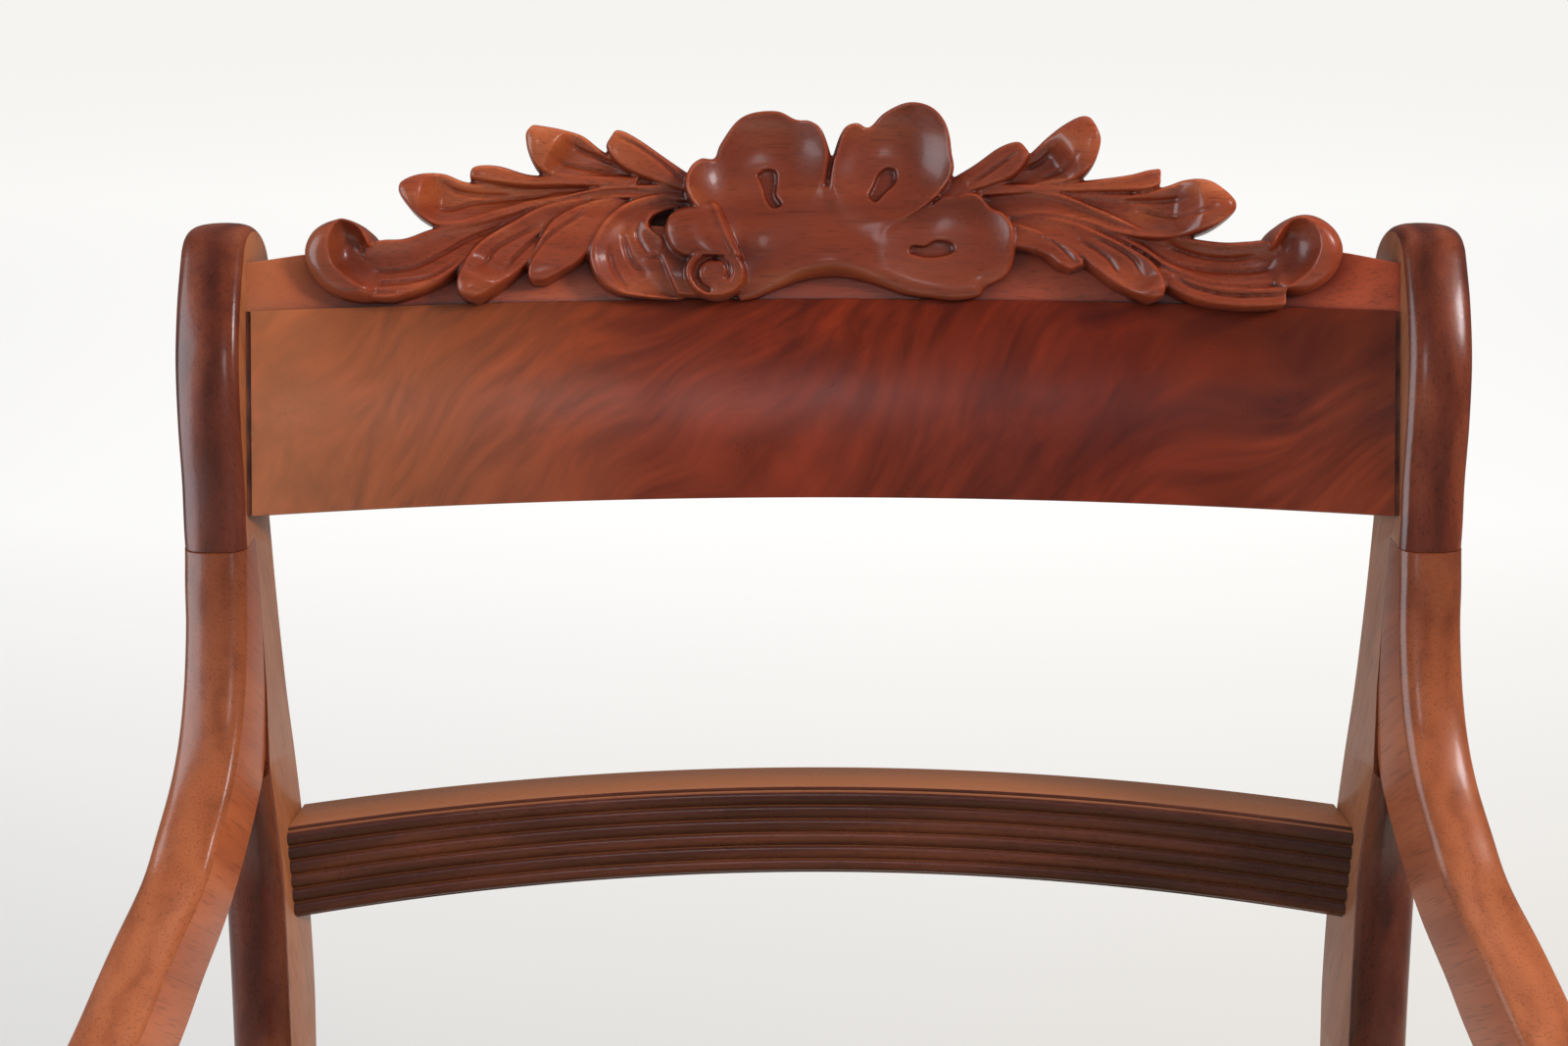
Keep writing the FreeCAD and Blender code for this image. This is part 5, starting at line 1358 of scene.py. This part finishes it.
def strap(start, stop, signs, crossings):
    """One strip of webbing: flat on the frame, then over and under the strips that it crosses."""
    direction = (stop - start).normalized()
    across = Vector((direction.y, -direction.x, 0))
    upright = Vector((0, 0, 1))
    long = (stop - start).length
    knots = [0.0, *crossings, long]
    sides = [-1.0, *signs, -1.0]
    rings = []
    for step in range(97):
        gone = long * step / 96
        side = float(np.clip(1.9 * np.interp(gone, knots, sides), -1, 1))
        lift = 0.5 * (WEB_THICK + 0.0001) * (2 + math.sin(side * math.pi / 2))
        middle = start + direction * gone + upright * lift
        rings.append([
            middle + across * (WEB_WIDE / 2 * aside) + upright * (WEB_THICK / 2 * up)
            for aside, up in ((-1, -1), (0, -1), (1, -1), (1.02, 0), (1, 1), (0, 1), (-1, 1), (-1.02, 0))])
    return lofted(rings)


def webbing_piece(crosswise):
    """Three strips of webbing, woven with the three that cross them."""
    front, back = SEAT_FRONT + WEB_SHORT, SEAT_BACK - WEB_SHORT
    rows = [SEAT_MIDDLE + step * (back - front) / 3.6 for step in (-1, 0, 1)]
    columns = [step * seat_half(SEAT_BACK) / 1.9 for step in (-1, 0, 1)]
    straps = []
    for index in range(3):
        signs = [1.0 if (index + other) % 2 == int(crosswise) else -1.0 for other in range(3)]
        if crosswise:
            half = seat_half(rows[index] + WEB_WIDE / 2) - WEB_SHORT
            ends = (-half, rows[index]), (half, rows[index])
            crossings = [x + half for x in columns]
        else:
            ends = (columns[index], front), (columns[index], back)
            crossings = [y - front for y in rows]
        start, stop = [Vector((*end, FRAME_TOP)) for end in ends]
        straps.append(strap(start, stop, signs, crossings))
    name = "webbing_crosswise" if crosswise else "webbing_lengthwise"
    piece = make_piece(name + "_woven", *joined(straps), "webbing", "drop_in_seat", [name], "webbing")
    shade_by_angle(piece, 40)


def flat_cloth(name, node_name, inset, foot, thick, sag, finish_name):
    """A cloth nailed out flat on the frame, its cut edge a little uneven."""
    shares = [0.0, 0.015, 0.04, 0.10, 0.2, 0.35, 0.55, 0.75, 0.93]
    faces_down = [(share, foot) for share in reversed(shares)]
    faces_up = [(share, foot + thick) for share in shares]
    rings = []
    for share, up in faces_down + faces_up:
        ring = []
        for index, point in enumerate(seat_plan(-inset, 0.010, up)):
            frayed = 0.0007 * math.sin(index * 2.4) * (share == 0)
            place = point.lerp(Vector((0, SEAT_MIDDLE, up)), share + frayed / HALF_DEEP)
            place.z -= sag * math.sin(share * math.pi / 2) ** 2
            ring.append(place)
        rings.append(ring)
    cloth = make_piece(name, *lofted(rings), finish_name, "drop_in_seat", [node_name], node_name)
    shade_by_angle(cloth, 40)


# Front legs: pairs of radius and height up the turning

FOOT_TURNING = [
    (0.0150, 0.0), (0.0166, 0.0006), (0.0170, 0.004), (0.0185, 0.020), (0.0195, 0.032), (0.0190, 0.041),
    (0.0162, 0.047), (0.0140, 0.0500), (0.0136, 0.0515), (0.0152, 0.0525), (0.0170, 0.0540),
    (0.0177, 0.0580), (0.0170, 0.0612), (0.0156, 0.0620), (0.0132, 0.0624), (0.0130, 0.0640)]
NECK_TURNING = [
    (0.0192, 0.2940), (0.0188, 0.2960), (0.0192, 0.3030), (0.0203, 0.3050), (0.0216, 0.3090),
    (0.0220, 0.3140), (0.0216, 0.3190), (0.0203, 0.3215), (0.0194, 0.3225), (0.0188, 0.3260),
    (0.0192, 0.3330), (0.0200, 0.3385), (0.0206, 0.3395), (0.0206, 0.3400)]
LEG_X = 0.260
LEG_Y = -0.299
BLOCK_FOOT = 0.340
BLOCK_HALF = 0.022
BLOCK_SOFT = 0.0009


def reeded_shaft():
    """Radius, height and depth of the reeds up the shaft, between the foot and the neck."""
    profile = []
    for step in range(1, 40):
        share = step / 40
        up = mix(share, FOOT_TURNING[-1][1], NECK_TURNING[0][1])
        profile.append((mix(share, 0.0126, 0.0192), up, min(1.0, share * 9, (1 - share) * 9)))
    return profile


def turned_leg():
    """Rings up the turned part of a front leg, which has ten reeds."""
    foot, neck = ([(*pair, 0.0) for pair in pairs] for pairs in (FOOT_TURNING, NECK_TURNING))
    profile = foot + reeded_shaft() + neck
    rings = []
    for radius, up, reeded in profile:
        ring = []
        for step in range(200):
            angle = 2 * math.pi * step / 200
            bulge = abs(math.sin(5 * angle)) ** 0.7
            reach = radius * (1 - 0.13 * reeded * (1 - bulge))
            ring.append((reach * math.cos(angle), reach * math.sin(angle), up))
        rings.append(ring)
    return rings


def around(points, x, y):
    """Points in their order round a place."""
    return sorted(points, key=lambda point: math.atan2(point[1] - y, point[0] - x))


def leg_block(side):
    """The square block on a front leg, its inner corner notched for the seat."""
    slim = BLOCK_HALF - BLOCK_SOFT
    corners = [(ahead * a, beside * b) for ahead in (-1, 1) for beside in (-1, 1)
               for a, b in ((slim, BLOCK_HALF), (BLOCK_HALF, slim))]
    lower = around(corners, 0, 0)
    left_over = [(x, y) for x, y in lower if x * side > 0 or y < 0]
    notch_x, notch_y = -0.003 * side, 0.006
    notch = [(notch_x, BLOCK_HALF), (notch_x, notch_y), (-side * BLOCK_HALF, notch_y)]
    upper = around(left_over + notch, side * 0.008, -0.008)
    ends = 0.962
    stack = [
        (lower, [(BLOCK_FOOT, ends), (BLOCK_FOOT + BLOCK_SOFT, 1), (HEM_FOOT, 1)]),
        (upper, [(HEM_FOOT, 1), (SEAT_Z - BLOCK_SOFT, 1), (SEAT_Z, ends)])]
    return [lofted([[(x * size, y * size, up) for x, y in plan] for up, size in levels])
            for plan, levels in stack]


# Operators, one for each piece or group of like pieces

class ArmchairStiles(bpy.types.Operator):
    """Stiles with their scrolls, sawn in one with the sabre rear legs"""
    bl_idname = "armchair.stiles"
    bl_label = "Stiles and rear legs"

    def execute(self, context):
        build_pair("rear_leg", stile_rings(), "stile_wood", joint_cutter(), "mahogany", inner="faded_and_lit_wood")
        return {"FINISHED"}


class ArmchairArms(bpy.types.Operator):
    """Scrolled arms, each fitted to its stile, and the supports they stand on"""
    bl_idname = "armchair.arms"
    bl_label = "Arms and supports"

    def execute(self, context):
        arm = build_pair("arm", arm_rings(), "arm_wood", behind_cutter(), "arm_mahogany", "arm_inner_wood")
        above = arm.copy()
        above.data = arm.data.copy()
        above.modifiers.clear()
        context.scene.collection.objects.link(above)
        build_pair("arm_support", support_rings(), "arm_wood", above, "mahogany")
        return {"FINISHED"}


class ArmchairTablet(bpy.types.Operator):
    """The tablet of the back and its flame veneer"""
    bl_idname = "armchair.tablet"
    bl_label = "Tablet"

    def execute(self, context):
        place = HollowBack(TABLET_FOOT, sizes().rake)
        core = eased_box(-VENEER_THICK, -0.020, 0.0009)
        veneer = eased_box(0.0, -VENEER_THICK, 0.0004)
        for name, section, end_gap, finish_name, node_name, slot in (
                ("tablet_core", core, 0.0, "rail_wood", "tablet_rail", "mahogany"),
                ("tablet_face", veneer, 0.0022, "flame_veneer", "tablet_veneer", "flame_veneer")):
            points, faces = bent_board(place, section, TABLET_LOW_RISE, TABLET_TOP_RISE, TABLET_TALL, end_gap)
            piece = make_piece(name, points, faces, finish_name, replaces=[node_name], slot=slot)
            shade_by_angle(piece, 40)
        return {"FINISHED"}


class ArmchairCrest(bpy.types.Operator):
    """The carved crest: leaf sprays, volutes, the three-petalled shell and its rolled leaf"""
    bl_idname = "armchair.crest"
    bl_label = "Carved crest"

    def execute(self, context):
        place = HollowBack(TABLET_FOOT, sizes().rake)
        parts = [leaf(place, **lobe) for lobe in LEFT_LEAVES + RIGHT_LEAVES]
        parts += [curl(place, **end) for end in CURLS]
        parts += [shell(place), snail(place)]
        carving = scratch_piece("carving", *joined(parts))
        voxels(carving, "one piece of wood", 0.0006)
        worn = carving.modifiers.new("worn edges", "SMOOTH")
        worn.factor = 0.5
        worn.iterations = 2
        apply_modifiers(carving)
        points, faces = joined([crest_board(place), plain_mesh(carving)])
        bpy.data.objects.remove(carving)
        crest = make_piece("carved_crest_leaves", points, faces, "carved_wood", replaces=["carved_crest"],
                           slot="carved_mahogany")
        shade_by_angle(crest, 60)
        return {"FINISHED"}


class ArmchairReededRail(bpy.types.Operator):
    """The hollow mid rail with its reeds"""
    bl_idname = "armchair.reeded_rail"
    bl_label = "Reeded rail"

    def execute(self, context):
        reeds = sizes().reeds
        tall, back, soft, flat, proud = 0.0457, -0.023, 0.0005, 0.0014, 0.0027
        pitch = (tall - 2 * flat) / reeds
        section = [
            (0.0, 0, 0.0003), (-0.0004, 0, 0), (back + soft, 0, 0), (back, 0, soft), (back, 0, tall - soft),
            (back + soft, 0, tall), (-0.0006, 0, tall), (0.0, 0, tall - soft), (0.0, 0, tall - flat)]
        for reed in reversed(range(reeds)):
            low = flat + reed * pitch
            for step in range(1, 12):
                angle = math.pi * step / 12
                up = low + pitch * (0.5 + 0.5 * math.cos(angle))
                section.append((proud * math.sin(angle) ** 0.8, 0, up))
            section.append((0.0, 0, low))
        points, faces = bent_board(HollowBack(REED_FOOT, REED_RAKE), section)
        rail = make_piece("reeded_mid_rail", points, faces, "reed_wood", replaces=["reeded_rail"])
        shade_by_angle(rail, 50)
        return {"FINISHED"}


def dress(name, finish_name):
    """Lay a finish on one of the frame's own pieces."""
    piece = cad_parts[name]
    piece.data.materials.clear()
    piece.data.materials.append(material(finish_name))
    return piece


class ArmchairSeatRails(bpy.types.Operator):
    """Finish for the seat rails, their corner blocks and the seat bearers"""
    bl_idname = "armchair.seat_rails"
    bl_label = "Seat rails"

    def execute(self, context):
        finishes = {"front_rail": "rail_wood", "back_rail": "rail_wood"}
        for side in ("left", "right"):
            finishes["side_rail_" + side] = "side_rail_wood"
            finishes["bearer_" + side] = "beech_long"
        for end in ("front", "back"):
            finishes["bearer_" + end] = "beech"
            for side in ("left", "right"):
                finishes[f"corner_block_{end}_{side}"] = "beech"
        for name, finish_name in finishes.items():
            ease_edges(dress(name, finish_name), 0.0008)
        dress("support_screws", "iron")
        return {"FINISHED"}


class ArmchairFrontLegs(bpy.types.Operator):
    """Front legs: notched square block, turned collars, a reeded shaft and a turned foot"""
    bl_idname = "armchair.front_legs"
    bl_label = "Front legs"

    def execute(self, context):
        for side, name in ((1, "left"), (-1, "right")):
            centre = Vector((side * LEG_X, LEG_Y, 0))
            points, faces = joined([lofted(turned_leg()), *leg_block(side)])
            leg = make_piece(f"front_leg_{name}_turned", [Vector(point) + centre for point in points], faces,
                             "leg_wood", replaces=[f"front_leg_{name}"])
            shade_by_angle(leg, 40)
        return {"FINISHED"}


class ArmchairSeat(bpy.types.Operator):
    """The drop-in seat: beech frame, webbing, hessian, stuffing and a woven cover"""
    bl_idname = "armchair.seat"
    bl_label = "Drop-in seat"

    def execute(self, context):
        members = []
        for end, finish_name in (("front", "beech"), ("back", "beech"), ("left", "beech_long"),
                                 ("right", "beech_long")):
            members.append("seat_frame_" + end)
            dress(members[-1], finish_name)
        webbing_piece(crosswise=False)
        webbing_piece(crosswise=True)
        flat_cloth("hessian_sheet", "hessian", 0.008, PAD_FOOT - 0.0008, 0.0007, 0.0, "hessian")
        flat_cloth("dust_cover_sheet", "dust_cover", 0.0154, HEM_FOOT - 0.0006, 0.0005, 0.0015, "dust_cloth")
        pad = seat_pad()
        cover_piece(pad)
        stuffing_piece(pad)
        bpy.data.objects.remove(pad)
        return {"FINISHED"}


# The stage

WINDOW_BEHIND = (0.88, 0.94, 1.0)
WINDOW_SIDE = (0.88, 0.93, 1.0)

# Each lamp: name, place, width and height, power, tint, where it points, whether it is mirrored in the polish
LAMPS = [
    ("window behind", (0.17, -1.9, 2.02), (0.32, 0.38), 1.7, WINDOW_BEHIND, (-0.07, 0.28, 0.79), True),
    ("side window", (-1.8, -0.55, 1.20), (1.5, 1.6), 22.0, WINDOW_SIDE, (0, 0.2, 0.8), True),
    ("room lamp", (1.55, -0.45, 1.75), (0.34, 0.34), 6.0, (0.95, 0.95, 1.0), (0.2, 0.2, 0.8), True),
    ("warm side", (1.4, -0.35, 1.7), (0.4, 0.4), 19.0, (1.0, 0.80, 0.56), (0.2, 0.2, 0.8), False),
    ("front fill", (0.4, -2.2, 1.2), (1.6, 1.2), 8.0, (1.0, 0.93, 0.84), (0, 0.15, 0.75), False),
    ("low fill", (0.5, -1.6, 0.15), (1.2, 0.8), 8.0, (1.0, 0.84, 0.66), (0, 0.15, 0.80), False),
    ("ceiling", (0.2, 1.0, 3.0), (2.6, 2.2), 66.0, (1.0, 0.985, 0.96), (0, 0.2, 0.6), False),
]


def add_camera(scene):
    """The camera where the photograph was taken from, looking 27 degrees down."""
    camera = placed("camera", bpy.data.cameras.new("camera"))
    camera.data.lens = 33.75
    camera.data.sensor_width = 36.0
    camera.data.clip_start = 0.01
    camera.location = (-0.0165, -0.3533, 1.0312)
    camera.rotation_euler = (math.radians(63.0), 0, 0)
    scene.camera = camera


def add_lamp(name, spot, size, power, tint, aim, mirrored):
    """A soft lamp with a rectangular shade."""
    lamp = placed(name, bpy.data.lights.new(name, "AREA"))
    lamp.data.shape = "RECTANGLE"
    lamp.data.size, lamp.data.size_y = size
    lamp.data.energy = power
    lamp.data.color = tint
    lamp.location = spot
    lamp.rotation_euler = (Vector(aim) - Vector(spot)).to_track_quat("-Z", "Y").to_euler()
    lamp.visible_glossy = mirrored


def flat_shader(tree, kind, tint, **sockets):
    """A plain shader of one tint."""
    tint = tint if isinstance(tint, bpy.types.NodeSocket) else (*tint, 1.0)
    return node(tree, kind, {"Color": tint, **sockets}).outputs[0]


def seen_apart(tree, surface_socket, lighting, seen):
    """One shader to light the chair with, and another for what the camera sees."""
    rays = node(tree, "LightPath").outputs["Is Camera Ray"]
    tree.links.new(node(tree, "MixShader", {0: rays, 1: lighting, 2: seen}).outputs[0], surface_socket)


def add_world(scene):
    """Dim grey light all round, in front of a pale background."""
    world = bpy.data.worlds.new("studio")
    tree, surface_socket = blank_tree(world, "OutputWorld")
    soft = flat_shader(tree, "Background", grey(0.90), Strength=0.14)
    seen = flat_shader(tree, "Background", (0.90, 0.895, 0.88), Strength=1.0)
    seen_apart(tree, surface_socket, soft, seen)
    scene.world = world


def add_floor():
    """A wide pale floor that keeps the chair's soft shadow; its glow is painted darker near the chair as
    shade and grows lighter towards the back and far away.
    """
    mesh = bpy.data.meshes.new("floor")
    mesh.from_pydata([(-12, -6, 0), (12, -6, 0), (12, 16, 0), (-12, 16, 0)], [], [(0, 1, 2, 3)])
    look = bpy.data.materials.new("pale_floor")
    tree, surface_socket = blank_tree(look, "OutputMaterial")
    where = object_space(tree)
    away = node(tree, "VectorMath", {0: where}, operation="LENGTH").outputs["Value"]
    back = maths(tree, "MAXIMUM", axis(tree, where, "Y"), maths(tree, "SUBTRACT", away, 1.0))
    # Painted shade: the glow is darkest near the chair and lightens towards the back and far away.
    tint = ramp(tree, stretch(tree, back, 0.0, 8.0), (0.0, 0.27), (0.08, 0.40), (0.21, 0.72),
                (0.45, (0.86, 0.855, 0.84)), (1.0, (0.87, 0.855, 0.83)))
    glow = flat_shader(tree, "Emission", tint, Strength=1.0)
    faint = flat_shader(tree, "BsdfDiffuse", (0.34, 0.34, 0.335))
    lift = node(tree, "AddShader", {0: glow, 1: faint}).outputs[0]
    seen_apart(tree, surface_socket, flat_shader(tree, "BsdfDiffuse", (0.62, 0.61, 0.60)), lift)
    mesh.materials.append(look)
    placed("floor", mesh)


class ArmchairStage(bpy.types.Operator):
    """Pale floor, soft studio light and the camera at the photograph's viewing angle"""
    bl_idname = "armchair.stage"
    bl_label = "Stage"

    def execute(self, context):
        context.scene.view_settings.view_transform = "Standard"
        add_camera(context.scene)
        add_floor()
        for lamp in LAMPS:
            add_lamp(*lamp)
        add_world(context.scene)
        return {"FINISHED"}


class ArmchairPanel(bpy.types.Panel):
    """Builds the armchair piece by piece"""
    bl_idname = "VIEW3D_PT_armchair"
    bl_label = "Armchair"
    bl_space_type = "VIEW_3D"
    bl_region_type = "UI"
    bl_category = "Armchair"

    def draw(self, context):
        for operator in OPERATORS:
            self.layout.operator(operator.bl_idname)
        for group in (context.scene.armchair_sizes, context.scene.armchair_finish):
            for name in group.bl_rna.properties.keys():
                if name not in ("rna_type", "name"):
                    self.layout.prop(group, name)


OPERATORS = [ArmchairStiles, ArmchairArms, ArmchairTablet, ArmchairCrest, ArmchairReededRail,
             ArmchairSeatRails, ArmchairFrontLegs, ArmchairSeat, ArmchairStage]
CLASSES = [ArmchairSizes, ArmchairFinish, *OPERATORS, ArmchairPanel]


def register():
    for made in CLASSES:
        bpy.utils.register_class(made)
    bpy.types.Scene.armchair_sizes = PointerProperty(type=ArmchairSizes)
    bpy.types.Scene.armchair_finish = PointerProperty(type=ArmchairFinish)


def unregister():
    del bpy.types.Scene.armchair_finish
    del bpy.types.Scene.armchair_sizes
    for made in reversed(CLASSES):
        bpy.utils.unregister_class(made)


def main():
    register()
    for operator in OPERATORS:
        group, name = operator.bl_idname.split(".")
        getattr(getattr(bpy.ops, group), name)()


if __name__ == "__main__":
    main()
